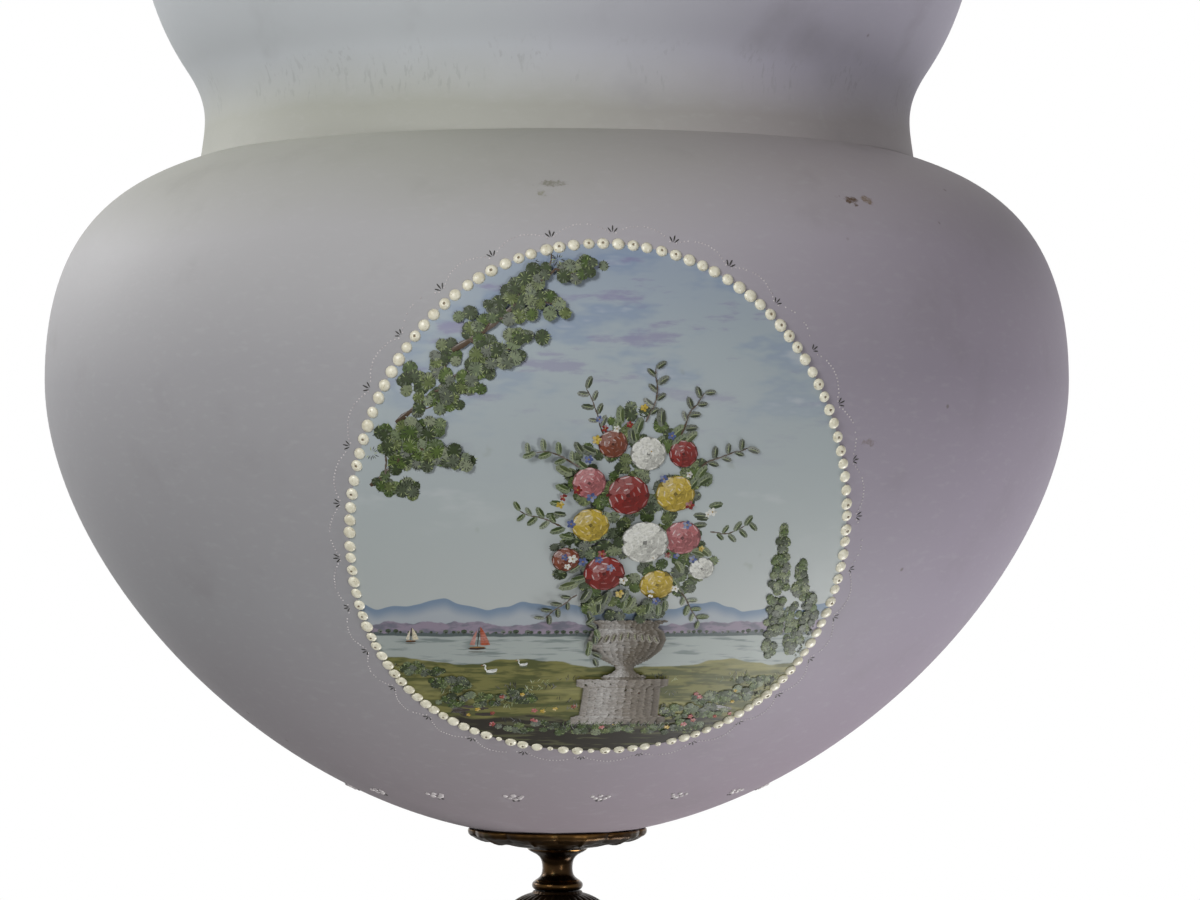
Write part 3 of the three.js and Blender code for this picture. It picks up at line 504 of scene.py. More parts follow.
def pearl():
    """Raised cream enamel, pitted where bubbles burst."""
    made = Finish("enamel_pearl", Specular_IOR_Level=0.6, IOR=1.5)
    pit = made.attribute("pit")
    cloud = made.noise(2.2, 3.0)
    colour = made.layered(
        (*bpy.context.scene.lamp_picture.pearl, 1.0),
        (cloud.rising(0.4, 0.7), srgb(206, 200, 176)),
        (made.noise(0.6, 2.0).rising(0.62, 0.7) * 0.7, srgb(150, 134, 100)),
        (pit.rising(0.2, 0.9) * 0.9, srgb(104, 84, 56)),
    )
    made.surface(colour, 0.24 + cloud * 0.2)
    made.grain(made.noise(0.5, 2.0) + pit * -2, 0.05)
    return made


def small_enamel(name, gloss, size, light, dark, rough):
    """Enamel of the small ornament, a little clouded."""
    made = Finish(name, Specular_IOR_Level=gloss)
    cloud = made.noise(size, 2.0)
    made.surface(made.mixed(cloud.rising(0.4, 0.7), light, dark), rough + cloud * 0.2)
    made.grain(cloud, 0.02)
    return made


def pale_dots():
    return small_enamel("enamel_dots", 0.5, 3, srgb(204, 198, 198), srgb(170, 163, 165), 0.3)


def dark_marks():
    return small_enamel("enamel_marks", 0.3, 1.2, srgb(40, 40, 36), srgb(70, 68, 66), 0.5)


def brass(name, rough, rub=0.7, dark=None):
    """Cast brass with a dark patina, worn bright where it bulges, and darkened in its hollows by patina and
    painted shade.
    """
    metal = bpy.context.scene.lamp_metal
    made = Finish(name, Metallic=1.0)
    bulge = made.attribute("bulge")
    cloud = made.noise(7, 4.0)
    fine = made.noise(1.4, 3.0)
    patches = made.noise(19, 3.0)
    rubbed = (bulge * 1.2 + cloud * 0.8).rising(0.72, 1.42)
    # Darkening in the hollows: partly patina, partly painted shade of the crevices
    hollow = (bulge * -1.6 + fine * 0.5).rising(0.35, 0.95)
    green = made.noise(4.5, 3.0).rising(0.6, 0.68) * (1 - rubbed)
    body = made.layered(
        dark or (*metal.patina, 1.0),
        (patches.rising(0.42, 0.67), srgb(72, 52, 28)),
        (cloud.rising(0.5, 0.7) * 0.5, srgb(24, 17, 9)),
        (rubbed * rub, (*metal.worn, 1.0)),
        (hollow * 0.85, srgb(14, 11, 7)),
        (green * 0.3, srgb(58, 66, 44)),
    )
    made.surface(body, rough + cloud * 0.18 + hollow * 0.25 - rubbed * 0.12)
    made.grain(fine + cloud, 0.05)
    return made


def aged_brass():
    return brass("aged_brass", 0.3)


def dark_brass():
    """Brass that is less rubbed, for the fitting under the bowl."""
    return brass("dark_brass", 0.28, rub=0.42)


def turned_brass():
    """Brass off the lathe, smoother than a casting."""
    return brass("turned_brass", 0.17, rub=0.5)


def chain_brass():
    return brass("chain_brass", 0.34, dark=srgb(66, 50, 27))


def felt():
    """Dark wool felt with short fibres."""
    made = Finish("felt", Roughness=0.95, Sheen_Weight=0.3, Specular_IOR_Level=0.1)
    fibre = made.noise(0.5, 4.0, made.stretched((1, 1, 2)))
    made.surface(made.mixed(fibre.rising(0.35, 0.75), srgb(40, 36, 31), srgb(82, 76, 66)))
    made.grain(fibre + made.noise(2.5, 2.0), 0.3)
    return made


def steel():
    """Turned steel, a little tarnished."""
    made = Finish("plain_metal", Metallic=1.0)
    rings = made.noise(0.7, 2.0, made.stretched((0.2, 0.2, 2)))
    dull = made.noise(9, 3.0)
    colour = made.mixed(dull.rising(0.45, 0.75) * 0.6, srgb(176, 172, 162), srgb(116, 106, 92))
    made.surface(colour, 0.28 + rings * 0.2)
    made.grain(rings, 0.03)
    return made


def porcelain():
    made = Finish("porcelain", Specular_IOR_Level=0.6, Coat_Weight=0.4, Coat_Roughness=0.1)
    cloud = made.noise(12, 3.0)
    colour = made.mixed(cloud.rising(0.4, 0.7) * 0.5, srgb(232, 228, 218), srgb(208, 200, 184))
    made.surface(colour, 0.2 + cloud * 0.1)
    made.grain(made.noise(1.5, 2.0), 0.015)
    return made


def bulb_glass():
    made = Finish("bulb_glass", Alpha=0.42, Specular_IOR_Level=0.8, Coat_Weight=0.6)
    haze = made.noise(16, 2.0)
    colour = made.mixed(haze.rising(0.3, 0.8) * 0.5, srgb(240, 241, 240), srgb(214, 218, 218))
    made.surface(colour, 0.06 + haze * 0.1)
    return made


def cap_metal():
    """Rolled aluminium of the bulb's cap."""
    made = Finish("bulb_cap_metal", Metallic=1.0)
    smear = made.noise(3, 3.0)
    colour = made.mixed(smear.rising(0.4, 0.7) * 0.5, srgb(190, 190, 188), srgb(150, 148, 142))
    made.surface(colour, 0.25 + smear * 0.15)
    made.grain(smear, 0.02)
    return made


# The materials, each made once from its finish

MATERIALS = {}


def material_of(finish):
    """The material of a finish, made when it is first asked for."""
    if finish not in MATERIALS:
        MATERIALS[finish] = finish().material
    return MATERIALS[finish]


# Shapes, drawn in millimetres


def closed_up(bm):
    """Merges what meets and turns every face outwards."""
    bmesh.ops.remove_doubles(bm, verts=bm.verts, dist=1e-4)
    bmesh.ops.recalc_face_normals(bm, faces=bm.faces)
    return bm


def turned(section, steps, ease=0.0):
    """A section spun right round, its corners eased. One that starts on the axis ends there too."""
    bm = bmesh.new()
    if ease:
        section = eased(section, ease)
    verts = [bm.verts.new((x, 0, z)) for x, z in section]
    on_axis = section[0][0] == 0
    ends = verts[1:] if on_axis else verts[1:] + verts[:1]
    edges = [bm.edges.new(pair) for pair in zip(verts, ends)]
    axis = {"cent": (0, 0, 0), "axis": (0, 0, 1), "angle": TURN}
    bmesh.ops.spin(bm, geom=verts + edges, steps=steps, use_merge=True, **axis)
    return closed_up(bm)


def hoop(radius, wire, steps=64, sides=16):
    """A ring of round wire that stands in the XZ plane."""
    bm = bmesh.new()
    bmesh.ops.create_circle(bm, radius=wire, segments=sides, matrix=shifted(radius, 0, 0))
    axis = {"cent": (0, 0, 0), "axis": (0, 1, 0), "angle": TURN}
    bmesh.ops.spin(bm, geom=bm.verts[:] + bm.edges[:], steps=steps, use_merge=True, **axis)
    return closed_up(bm)


class Wire:
    """Round wire laid out in the XZ plane, from a place and a heading in degrees from the X axis."""

    def __init__(self, radius, x, z, heading, sides=14):
        self.bm = bmesh.new()
        self.radius = radius
        self.place = Vector((x, 0, z))
        self.heading = radians(heading)
        turn = rotated(QUARTER - self.heading, "Y")
        matrix = Matrix.Translation(self.place) @ turn
        bmesh.ops.create_circle(self.bm, radius=radius, segments=sides, matrix=matrix)
        self.end = self.bm.verts[:] + self.bm.edges[:]
        self.start = (list(self.end), self.place.copy(), -self.forward())

    def forward(self):
        return Vector((cos(self.heading), 0, sin(self.heading)))

    def run(self, length):
        """Goes on straight."""
        self.end = self.pushed(self.end, self.forward() * length)
        self.place += self.forward() * length
        return self

    def pushed(self, end, step):
        """Draws an end of the wire on by a step."""
        made = bmesh.ops.extrude_edge_only(self.bm, edges=only(BMEdge, end))["geom"]
        bmesh.ops.translate(self.bm, verts=only(BMVert, made), vec=step)
        return only((BMVert, BMEdge), made)

    def bend(self, radius, degrees, steps=None):
        """Goes round a bend, to the left where the degrees are positive."""
        angle = radians(degrees)
        left = Vector((-sin(self.heading), 0, cos(self.heading)))
        middle = self.place + left * copysign(radius, angle)
        steps = steps or max(round(abs(degrees) / 12), 2)
        axis = {"cent": middle, "axis": (0, -1, 0), "angle": angle}
        self.end = bmesh.ops.spin(self.bm, geom=self.end, steps=steps, use_merge=False, **axis)["geom_last"]
        self.place = middle + Matrix.Rotation(angle, 3, (0, -1, 0)) @ (self.place - middle)
        self.heading += angle
        return self

    def rounded_off(self):
        """Closes both ends with a dome."""
        ends = (self.start, (self.end, self.place, self.forward()))
        for end, place, outward in ends:
            for low, high in ((0, 35), (35, 65), (65, 88)):
                a, b = radians(low), radians(high)
                end = self.pushed(end, outward * self.radius * (sin(b) - sin(a)))
                verts = only(BMVert, end)
                space = Matrix.Translation(-place)
                size = cos(b) / cos(a)
                axis = outward.to_track_quat("Z", "Y").to_matrix().to_4x4()
                scale = axis @ Matrix.Diagonal((size, size, 1, 1)) @ axis.inverted()
                bmesh.ops.transform(self.bm, verts=verts, matrix=scale, space=space)
            bmesh.ops.contextual_create(self.bm, geom=only(BMEdge, end))
        return closed_up(self.bm)


def mesh_of(bm, name):
    """A shape turned into mesh data, which ends the shape."""
    mesh = bpy.data.meshes.new(name)
    bm.to_mesh(mesh)
    bm.free()
    return mesh


def freed(*meshes):
    for mesh in meshes:
        bpy.data.meshes.remove(mesh)


def poured(mesh, whole):
    """Adds mesh data to a shape, which ends the data."""
    whole.from_mesh(mesh)
    freed(mesh)


def together(whole, *shapes):
    """Several closed shapes as one piece's."""
    for shape in shapes:
        poured(mesh_of(shape, "part"), whole)
    return whole


def linked(name, data):
    """A new object in the scene."""
    made = bpy.data.objects.new(name, data)
    bpy.context.scene.collection.objects.link(made)
    return made


def only(kind, geom):
    return [g for g in geom if isinstance(g, kind)]


def placed(bm, matrix):
    bmesh.ops.transform(bm, matrix=matrix, verts=bm.verts)
    return bm


def reshaped(bm, change):
    """Moves every corner by a function of its turn from the front, radius and height."""
    for v in bm.verts:
        radius = hypot(v.co.x, v.co.y)
        if radius > 1e-4:
            new_radius, v.co.z = change(atan2(v.co.x, -v.co.y), radius, v.co.z)
            v.co.x *= new_radius / radius
            v.co.y *= new_radius / radius
    return bm


def thread(pitch, depth, low, high):
    """A change that cuts a screw thread in the outside of a turned piece between two levels."""

    def change(turn, radius, z):
        if low < z < high and radius > 1:
            radius += depth * (sin(TURN * z / pitch - turn) - 1) / 2
        return radius, z

    return change


def mark_bulges(bm, size):
    """Gives each corner its bulge, 1 on an edge as round as the size, -1 in such a hollow."""
    layer = bm.verts.layers.float.new("bulge")
    bm.normal_update()
    raw = {}
    for v in bm.verts:
        total = 0.0
        for edge in v.link_edges:
            step = edge.other_vert(v).co - v.co
            total -= v.normal.dot(step) / max(step.length_squared, 1e-4)
        raw[v] = total * 2 * size / max(len(v.link_edges), 1)
    for v in bm.verts:
        near = [raw[edge.other_vert(v)] for edge in v.link_edges]
        v[layer] = max(-1.0, min(1.0, (raw[v] + sum(near)) / (1 + len(near))))


def piece(bm, name, body, finish, *nodes, sharp=38, bulge=None):
    """Makes a piece of the lamp from a shape drawn in millimetres."""
    if bulge:
        mark_bulges(bm, bulge)
    bmesh.ops.scale(bm, vec=(MM, MM, MM), verts=bm.verts)
    mesh = mesh_of(bm, name)
    mesh.shade_smooth()
    mesh.set_sharp_from_angle(angle=radians(sharp))
    mesh.materials.append(material_of(finish))
    made = linked(name, mesh)
    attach(made, body)
    if nodes:
        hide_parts(*nodes)
    return made


def brass_piece(bm, name, body, node, bulge=1.2, finish=aged_brass):
    return piece(bm, name, body, finish, node, bulge=bulge)


class Scatter:
    """Many small closed shapes gathered in one piece."""

    def __init__(self):
        self.bm = bmesh.new()

    def add(self, mesh, matrix):
        copy = mesh.copy()
        copy.transform(matrix)
        poured(copy, self.bm)


# Ornament on the glass

SUNK = 0.25
SCALLOP_GAP = 2.6
SCALLOP_BOW = 4.2
MOTIF_HEIGHT = 17.6
BAND_HEIGHT = 296.0
BAND_SCALLOPS = 42
BAND_DOTS = 17
BAND_BOW = 4.4
OVAL_STEPS = 720


class Oval:
    """The oval that the pearls stand on, in millimetres on the glass from the picture's middle."""

    def __init__(self, picture, grow=0.0):
        a = picture.half_width / MM + grow
        b = picture.half_height / MM + grow
        c, s = cos(picture.tilt), sin(picture.tilt)
        self.points = []
        for k in range(OVAL_STEPS + 1):
            t = TURN * k / OVAL_STEPS
            x, y = a * sin(t), b * cos(t)
            self.points.append(Vector((x * c - y * s, x * s + y * c)))
        self.reach = [0.0]
        for p, q in zip(self.points, self.points[1:]):
            self.reach.append(self.reach[-1] + (q - p).length)

    def at(self, share):
        """A place at a share of the way round, from the top and to the right, and its way outwards."""
        distance = (share % 1.0) * self.reach[-1]
        k = min(max(bisect_left(self.reach, distance), 1), OVAL_STEPS)
        p, q = self.points[k - 1], self.points[k]
        t = (distance - self.reach[k - 1]) / (self.reach[k] - self.reach[k - 1])
        way = (q - p).normalized()
        return p.lerp(q, t), Vector((-way.y, way.x))


class Ground:
    """One side of the glass, on which the picture is laid out flat."""

    def __init__(self, picture, turn):
        self.turn = turn
        self.rise = picture.rise / MM

    def spot(self, flat):
        """The turn and distance of a place on the flat picture."""
        distance = self.rise + flat[1]
        return self.turn + flat[0] / MERIDIAN.at(distance)[0], distance

    def stand(self, flat, spin=0.0, lift=0.0):
        turn, distance = self.spot(flat)
        return facing(turn, distance, spin, lift)

    def wrap(self, bm):
        """Lays a flat shape on the glass, its Z as the lift."""
        for v in bm.verts:
            turn, distance = self.spot(v.co)
            v.co = on_glass(turn, distance, v.co.z)[0]
        return closed_up(bm)


def grounds(picture):
    return (("front", Ground(picture, picture.turn)), ("back", Ground(picture, picture.turn + pi)))


def dome_stamp(radius, height, rings=5, sides=12, pit=False):
    """A drop of enamel, domed and standing a little in the glass."""
    dome = [(x * radius, y * height) for x, y in arc(0, 0, 1, 4, 90, rings)]
    if pit:
        dome[-2:] = [(radius * 0.3, height * 0.97), (radius * 0.16, height * 0.8), (0, height * 0.66)]
    dome[-1] = (0, dome[-1][1])
    bm = turned([(0, -SUNK), (radius * 0.92, -SUNK)] + dome, sides)
    layer = bm.verts.layers.float.new("pit")
    for v in bm.verts:
        v[layer] = 1.0 if pit and hypot(v.co.x, v.co.y) < radius * 0.2 and v.co.z > 0 else 0.0
    return mesh_of(bm, "stamp")


def bowed(share, depth):
    """How far a scallop bows out at a share of its length."""
    return depth * sin(pi * share) ** 0.75


def add_pearls(picture):
    """The row of pearls round each picture, with smaller ones among the lowest."""
    plain = dome_stamp(1.0, 0.62)
    pitted = dome_stamp(1.0, 0.62, pit=True)
    oval = Oval(picture)
    for k, (name, ground) in enumerate(grounds(picture)):
        chance = random.Random(picture.seed + k)
        row = Scatter()
        for i in range(picture.pearls):
            flat, _ = oval.at((i + 0.3 + chance.uniform(-0.06, 0.06)) / picture.pearls)
            size = picture.pearl_size / 2 / MM * chance.uniform(0.9, 1.06)
            low = flat.y < -0.86 * picture.half_height / MM
            if low and chance.random() < 0.16:
                size *= 0.55
            place = ground.stand(flat, chance.uniform(0, TURN))
            wide, tall = size * chance.uniform(0.95, 1.05), size * chance.uniform(0.85, 1.0)
            drop = pitted if chance.random() < 0.45 else plain
            row.add(drop, place @ Matrix.Diagonal((wide, size, tall, 1)))
        piece(row.bm, "pearls_" + name, "bowl", pearl, sharp=80)
    freed(plain, pitted)


def stroke_stamp(length, width):
    """A dark brush stroke that stands on its point, Y up."""
    bm = bmesh.new()
    bmesh.ops.create_cone(bm, cap_ends=True, segments=8, radius1=1, radius2=0.6, depth=1)
    for v in bm.verts:
        v.co.y = v.co.y * length / 2 + length / 2
        v.co.x *= width / 2 * (0.25 + 0.75 * min(v.co.y / (length * 0.55), 1.0))
        v.co.z *= 0.14
    return mesh_of(bm, "stamp")


def three_strokes(row, stroke, place, size=1.0):
    """The small fan of three strokes that marks each joint of the festoons."""
    for lean in (-0.62, 0.0, 0.62):
        tall = 1.0 if lean else 1.12
        turn = rotated(-lean) @ Matrix.Diagonal((size, size * tall, 1, 1))
        row.add(stroke, place @ turn @ shifted(0, 0.25, 0))


def add_festoons(picture):
    """Dotted scallops round the pearls, with a mark at each joint."""
    dot = dome_stamp(0.27, 0.16, rings=2, sides=7)
    stroke = stroke_stamp(2.5, 0.62)
    oval = Oval(picture, SCALLOP_GAP)
    count = picture.scallops
    for k, (name, ground) in enumerate(grounds(picture)):
        chance = random.Random(picture.seed + 20 + k)
        dots, marks = Scatter(), Scatter()
        for i in range(count):
            flat, out = oval.at((i + 0.47) / count)
            spin = atan2(out.y, out.x) - QUARTER
            three_strokes(marks, stroke, ground.stand(flat + out * 0.9, spin), chance.uniform(0.85, 1.05))
            faint = chance.random() < 0.25
            for j in range(1, picture.dots + 1):
                share = j / (picture.dots + 1)
                flat, out = oval.at((i + 0.47 + share) / count)
                if chance.random() < (0.45 if faint else 0.1):
                    continue
                away = bowed(share, SCALLOP_BOW) + 0.2 + chance.uniform(-0.12, 0.12)
                dots.add(dot, ground.stand(flat + out * away))
        piece(dots.bm, "festoon_dots_" + name, "bowl", pale_dots, sharp=80)
        piece(marks.bm, "festoon_marks_" + name, "bowl", dark_marks)
    freed(dot, stroke)


def add_bands(picture):
    """The ring of small motifs low on the bowl, and the dotted band round the collar."""
    chance = random.Random(picture.seed + 40)
    drop = dome_stamp(0.8, 0.4, rings=3, sides=9)
    dot = dome_stamp(0.3, 0.16, rings=2, sides=7)
    stroke = stroke_stamp(2.5, 0.75)
    dots, marks = Scatter(), Scatter()
    low = MERIDIAN.reach_to(MOTIF_HEIGHT)
    for i in range(picture.motifs):
        stand = facing(TURN * (i + 0.5) / picture.motifs, low)
        for x, y in ((-2.9, 2.5), (-0.1, 2.9), (2.6, 2.3), (-1.6, 0.9), (1.6, 0.9), (0, -0.1)):
            size = Matrix.Scale(chance.uniform(1.0, 1.3), 4)
            dots.add(drop, stand @ shifted(x, y, 0) @ size)
        for side in (-0.75, 0.75):
            marks.add(drop, stand @ shifted(side, -1.5, 0) @ Matrix.Diagonal((0.75, 0.5, 0.5, 1)))
    high = MERIDIAN.reach_to(BAND_HEIGHT)
    for i in range(BAND_SCALLOPS):
        turn = TURN * (i + 0.4) / BAND_SCALLOPS
        three_strokes(marks, stroke, facing(turn, high - 1.2, pi))
        for j in range(1, BAND_DOTS + 1):
            share = j / (BAND_DOTS + 1)
            if chance.random() < 0.12:
                continue
            dots.add(dot, facing(turn + TURN / BAND_SCALLOPS * share, high - bowed(share, BAND_BOW)))
    piece(dots.bm, "band_dots", "bowl", pale_dots, sharp=80)
    piece(marks.bm, "band_marks", "bowl", dark_marks)
    freed(drop, dot, stroke)


# The picture: a bouquet in an urn before a lake, of simple motifs

PICTURE_LIFT = 0.1
PICTURE_BACK = -0.3
PICTURE_SPAN = 200.0
PICTURE_RINGS = 40
PEARL_MARGIN = 1.7
LEAF_GREENS = (srgb(66, 84, 38), srgb(80, 98, 46), srgb(54, 66, 38), srgb(92, 104, 60), srgb(60, 72, 44))
DARK = srgb(28, 30, 22)
PALE_GREEN = srgb(150, 160, 112)
CELL = 0.8
PAINT = 0.004
TOUCHES_AT_ONCE = 150


def lit(colour, amount):
    """A colour made lighter, or darker where the amount is negative."""
    target = 0.0 if amount < 0 else 0.8
    share = min(abs(amount), 0.9)
    return (*[c + (target - c) * share for c in colour[:3]], 1.0)


class Painting:
    """Motifs of enamel touches, drawn flat in millimetres from the oval's middle.

    Touches are drawn into a small part, which joins the whole now and then. The height of the paint is
    kept for each cell of the picture, so that a touch lies on those under it.
    """

    def __init__(self, picture, seed):
        self.chance = random.Random(seed)
        self.half = (picture.half_width / MM - PEARL_MARGIN, picture.half_height / MM - PEARL_MARGIN)
        self.tilt = picture.tilt
        self.whole = bmesh.new()
        self.heights = {}
        self.begin()

    def begin(self):
        self.part = bmesh.new()
        self.paint = self.part.verts.layers.float_color.new("paint")
        self.count = 0

    def keep(self):
        poured(mesh_of(self.part, "part"), self.whole)

    def between(self, low, high):
        return self.chance.uniform(low, high)

    def wobble(self, most):
        return self.chance.uniform(-most, most)

    def green(self):
        return self.chance.choice(LEAF_GREENS)

    def inside(self, u, v, margin=0.0):
        c, s = cos(self.tilt), sin(self.tilt)
        x, y = u * c + v * s, v * c - u * s
        return (x / (self.half[0] - margin)) ** 2 + (y / (self.half[1] - margin)) ** 2 < 1

    def settle(self, u, v, long, wide, turn, layers):
        """The height of the paint that a touch lies on. Its layers then raise it."""
        c, s = abs(cos(turn)), abs(sin(turn))
        reach_u, reach_v = (c * long + s * wide) * 0.42, (s * long + c * wide) * 0.42
        columns = range(floor((u - reach_u) / CELL), floor((u + reach_u) / CELL) + 1)
        rows = range(floor((v - reach_v) / CELL), floor((v + reach_v) / CELL) + 1)
        cells = [(i, j) for i in columns for j in rows]
        under = max(self.heights.get(cell, PICTURE_LIFT) for cell in cells)
        for cell in cells:
            self.heights[cell] = under + PAINT * layers
        return under

    def touch(self, u, v, long, wide, turn, colour, sides=6, top=0.8, on=None, layers=1):
        """One touch of the brush, a low closed mound. One that isn't on another settles by itself."""
        if not self.inside(u, v, max(long, wide) / 2):
            return None
        under = self.settle(u, v, long, wide, turn, layers) if on is None else on
        low, high = max(under - 12 * PAINT, 0.02), under + PAINT
        flat = shifted(u, v, (low + high) / 2) @ rotated(turn)
        size = Matrix.Diagonal((long / 2, wide / 2, high - low, 1))
        shape = {"segments": sides, "radius1": 1, "radius2": top, "depth": 1}
        made = bmesh.ops.create_cone(self.part, cap_ends=True, matrix=flat @ size, **shape)
        if long > 3:
            caps = {f for v in made["verts"] for f in v.link_faces if len(f.verts) == sides}
            made["verts"] += bmesh.ops.poke(self.part, faces=list(caps))["verts"]
        for v in made["verts"]:
            v[self.paint] = colour
        self.count += 1
        if self.count > TOUCHES_AT_ONCE:
            self.keep()
            self.begin()
        return high

    def ray(self, u, v, reach, a):
        return u + reach * cos(a), v + reach * sin(a)

    def varied(self, colour, amount=0.15):
        return lit(colour, self.wobble(amount))

    def rosette(self, u, v, radius, green):
        """A tuft of leaves: a wash of green under fine strokes from its middle."""
        start = self.between(0, TURN)
        wash = self.touch(u, v, 2 * radius, 1.8 * radius, start, self.varied(green), 8, layers=4)
        strokes = round(5 + 4 * radius)
        for k in range(strokes):
            a = TURN * (k + self.wobble(0.3)) / strokes
            draw = self.chance.random()
            colour = DARK if draw < 0.6 else (PALE_GREEN if draw > 0.84 else lit(green, 0.14))
            where = self.ray(u, v, radius * self.between(0.5, 0.8), a)
            level = wash and wash + k % 3 * PAINT
            self.touch(*where, radius * self.between(0.6, 0.85), 0.36, a, colour, 4, 0.7, level)

    def cluster(self, u, v, width, height, count, size=2.3):
        """Tufts of leaves strewn over a patch."""
        for _ in range(count):
            a = self.between(0, TURN)
            r = sqrt(self.chance.random())
            place = (u + r * width * cos(a), v + r * height * sin(a))
            self.rosette(*place, size * self.between(0.75, 1.15), self.green())

    def leaf(self, u, v, long, heading, green):
        """A pointed leaf with a shaded half, a pale rib and veins."""
        u, v = self.ray(u, v, long / 2, heading)
        base = self.touch(u, v, long, long * 0.48, heading, lit(green, 0.12), 8, layers=4)
        if not base:
            return
        dark = self.ray(u, v, long * 0.11, heading - QUARTER)
        self.touch(*dark, long * 0.86, long * 0.22, heading, lit(green, -0.45), 6, on=base)
        for k in (-1, 0, 1):
            vein = self.ray(*self.ray(u, v, k * long * 0.2, heading), long * 0.1, heading + 0.9)
            self.touch(*vein, long * 0.2, 0.24, heading + 0.9, DARK, 4, on=base + PAINT)
        self.touch(u, v, long * 0.9, 0.26, heading, PALE_GREEN, 4, on=base + 2 * PAINT)

    def rose(self, u, v, radius, colour):
        """A full bloom: rings of petals with a bright rim and a dark fold each."""
        base = self.touch(u, v, 2.1 * radius, 2.0 * radius, 0, lit(colour, -0.6), 12, layers=20)
        for count, reach, size in ((8, 0.7, 0.66), (6, 0.42, 0.52), (4, 0.19, 0.34)):
            start = self.between(0, TURN)
            for k in range(count):
                a = start + TURN * k / count + self.wobble(0.12)
                light = 0.24 * cos(a - 2.3) + self.between(-0.1, 0.06)
                across = a + QUARTER + self.wobble(0.2)
                petal = self.ray(u, v, radius * reach, a)
                wide = radius * size
                tall = base + k % 4 * PAINT
                self.touch(*petal, wide * 1.2, wide * 0.9, across, lit(colour, light - 0.08), 9, on=tall)
                tall += PAINT
                rim = self.ray(u, v, radius * (reach + size * 0.3), a)
                self.touch(*rim, wide * 0.85, radius * 0.1, across, lit(colour, light + 0.3), 6, 0.7, tall)
                fold = self.ray(u, v, radius * (reach - size * 0.36), a)
                self.touch(*fold, wide * 0.8, radius * 0.08, across, lit(colour, light - 0.6), 6, 0.7, tall)
                vein = self.ray(u, v, radius * reach, a + self.wobble(0.15))
                self.touch(*vein, wide * 0.5, 0.22, a, lit(colour, light - 0.28), 4, 0.8, tall)
            base += 5 * PAINT
        self.touch(u, v, radius * 0.24, radius * 0.2, 0.4, lit(colour, -0.7), 7, on=base)

    def blossom(self, u, v, radius, colour):
        """A small flower of five petals."""
        for k in range(5):
            a = TURN * k / 5 + self.wobble(0.2)
            where = self.ray(u, v, radius * 0.55, a)
            self.touch(*where, radius, radius * 0.75, a, self.varied(colour, 0.25), 7)
        self.touch(u, v, radius * 0.45, radius * 0.45, 0, srgb(150, 120, 40), 6)

    def line(self, points, width, colour):
        """A drawn line: overlapping strokes from point to point, thinning out."""
        for k, ((u0, v0), (u1, v1)) in enumerate(zip(points, points[1:])):
            long = hypot(u1 - u0, v1 - v0)
            thick = width * (1 - 0.65 * k / len(points))
            heading = atan2(v1 - v0, u1 - u0)
            where = ((u0 + u1) / 2, (v0 + v1) / 2)
            self.touch(*where, long + thick, thick, heading, self.varied(colour, 0.1), 6, 0.9)
            if thick > 0.8:
                lighter = self.ray(*where, thick * 0.26, heading + QUARTER)
                self.touch(*lighter, long, thick * 0.22, heading, lit(colour, 0.25), 5)

    def twig(self, u, v, heading, length, width, sag=0.0, wander=0.35):
        """A bending twig, drawn, and the points along it."""
        points = [(u, v)]
        for _ in range(7):
            heading += self.wobble(wander) + sag
            u, v = self.ray(u, v, length / 7, heading)
            points.append((u, v))
        self.line(points, width, srgb(74, 58, 42))
        return points

    def spray(self, u, v, heading, length, colour):
        """A bending twig with leaves along it."""
        points = self.twig(u, v, heading, length, 0.7)
        for k, (a, b) in enumerate(points[1:]):
            side = 0.9 if k % 2 else -0.9
            self.leaf(a, b, self.between(3.4, 4.6), heading + side, self.varied(colour, 0.2))

    def bough(self, u, v, heading, length, tufts):
        """A bough of a tree outside the picture, with hanging tufts of leaves."""
        points = self.twig(u, v, heading, length, 2.2, -0.03, 0.2)
        for k, (a, b) in enumerate(points[1:]):
            side = 1 if k % 2 else -1
            turn = heading + side * self.between(0.6, 1.1)
            ends = self.twig(a, b, turn, self.between(8, 14), 0.8, -0.08 * side)
            for place in ends[3::4]:
                self.cluster(*place, 5.6, 3.4, tufts)

    def turned_stone(self, u, v, section, colour):
        """A turned shape in fine hatching, lit from the left."""
        low, high = section[0][1], section[-1][1]
        step = 0.62
        for k in range(round((high - low) / step)):
            h = low + (k + 0.5) * step
            i = next(i for i in range(1, len(section)) if section[i][1] >= h)
            (w0, h0), (w1, h1) = section[i - 1], section[i]
            w = w0 + (w1 - w0) * (h - h0) / max(h1 - h0, 0.01)
            flare = (w1 - w0) / max(h1 - h0, 0.3)
            for side in range(-5, 6):
                x = side / 5.5 * w
                light = 0.34 - 0.085 * abs(side + 2.5) - 0.1 * max(-1.0, min(1.0, flare))
                tint = lit(colour, light + self.wobble(0.06))
                shift = self.wobble(0.04) * w if abs(side) < 5 else 0
                long = w * (self.between(0.16, 0.34) if shift else 0.2) + 0.3
                self.touch(u + x + shift, v + h, long, step * 1.8, 0, tint, 5, 0.95)

    def tree_row(self, u, v, width, count):
        """Far trees along a shore."""
        for k in range(count):
            a = u + width * (k + self.wobble(0.3)) / count
            size = self.between(0.7, 1.6)
            self.touch(a, v + size * 0.6, size * 1.5, size * 1.3, 0, self.varied(srgb(66, 78, 60)), 7)
            self.touch(a + 0.2, v + size * 0.4, size * 0.8, size * 0.5, 0, srgb(44, 50, 42), 6)
            self.touch(a, v, 0.2, size, 0, srgb(50, 46, 40), 4)

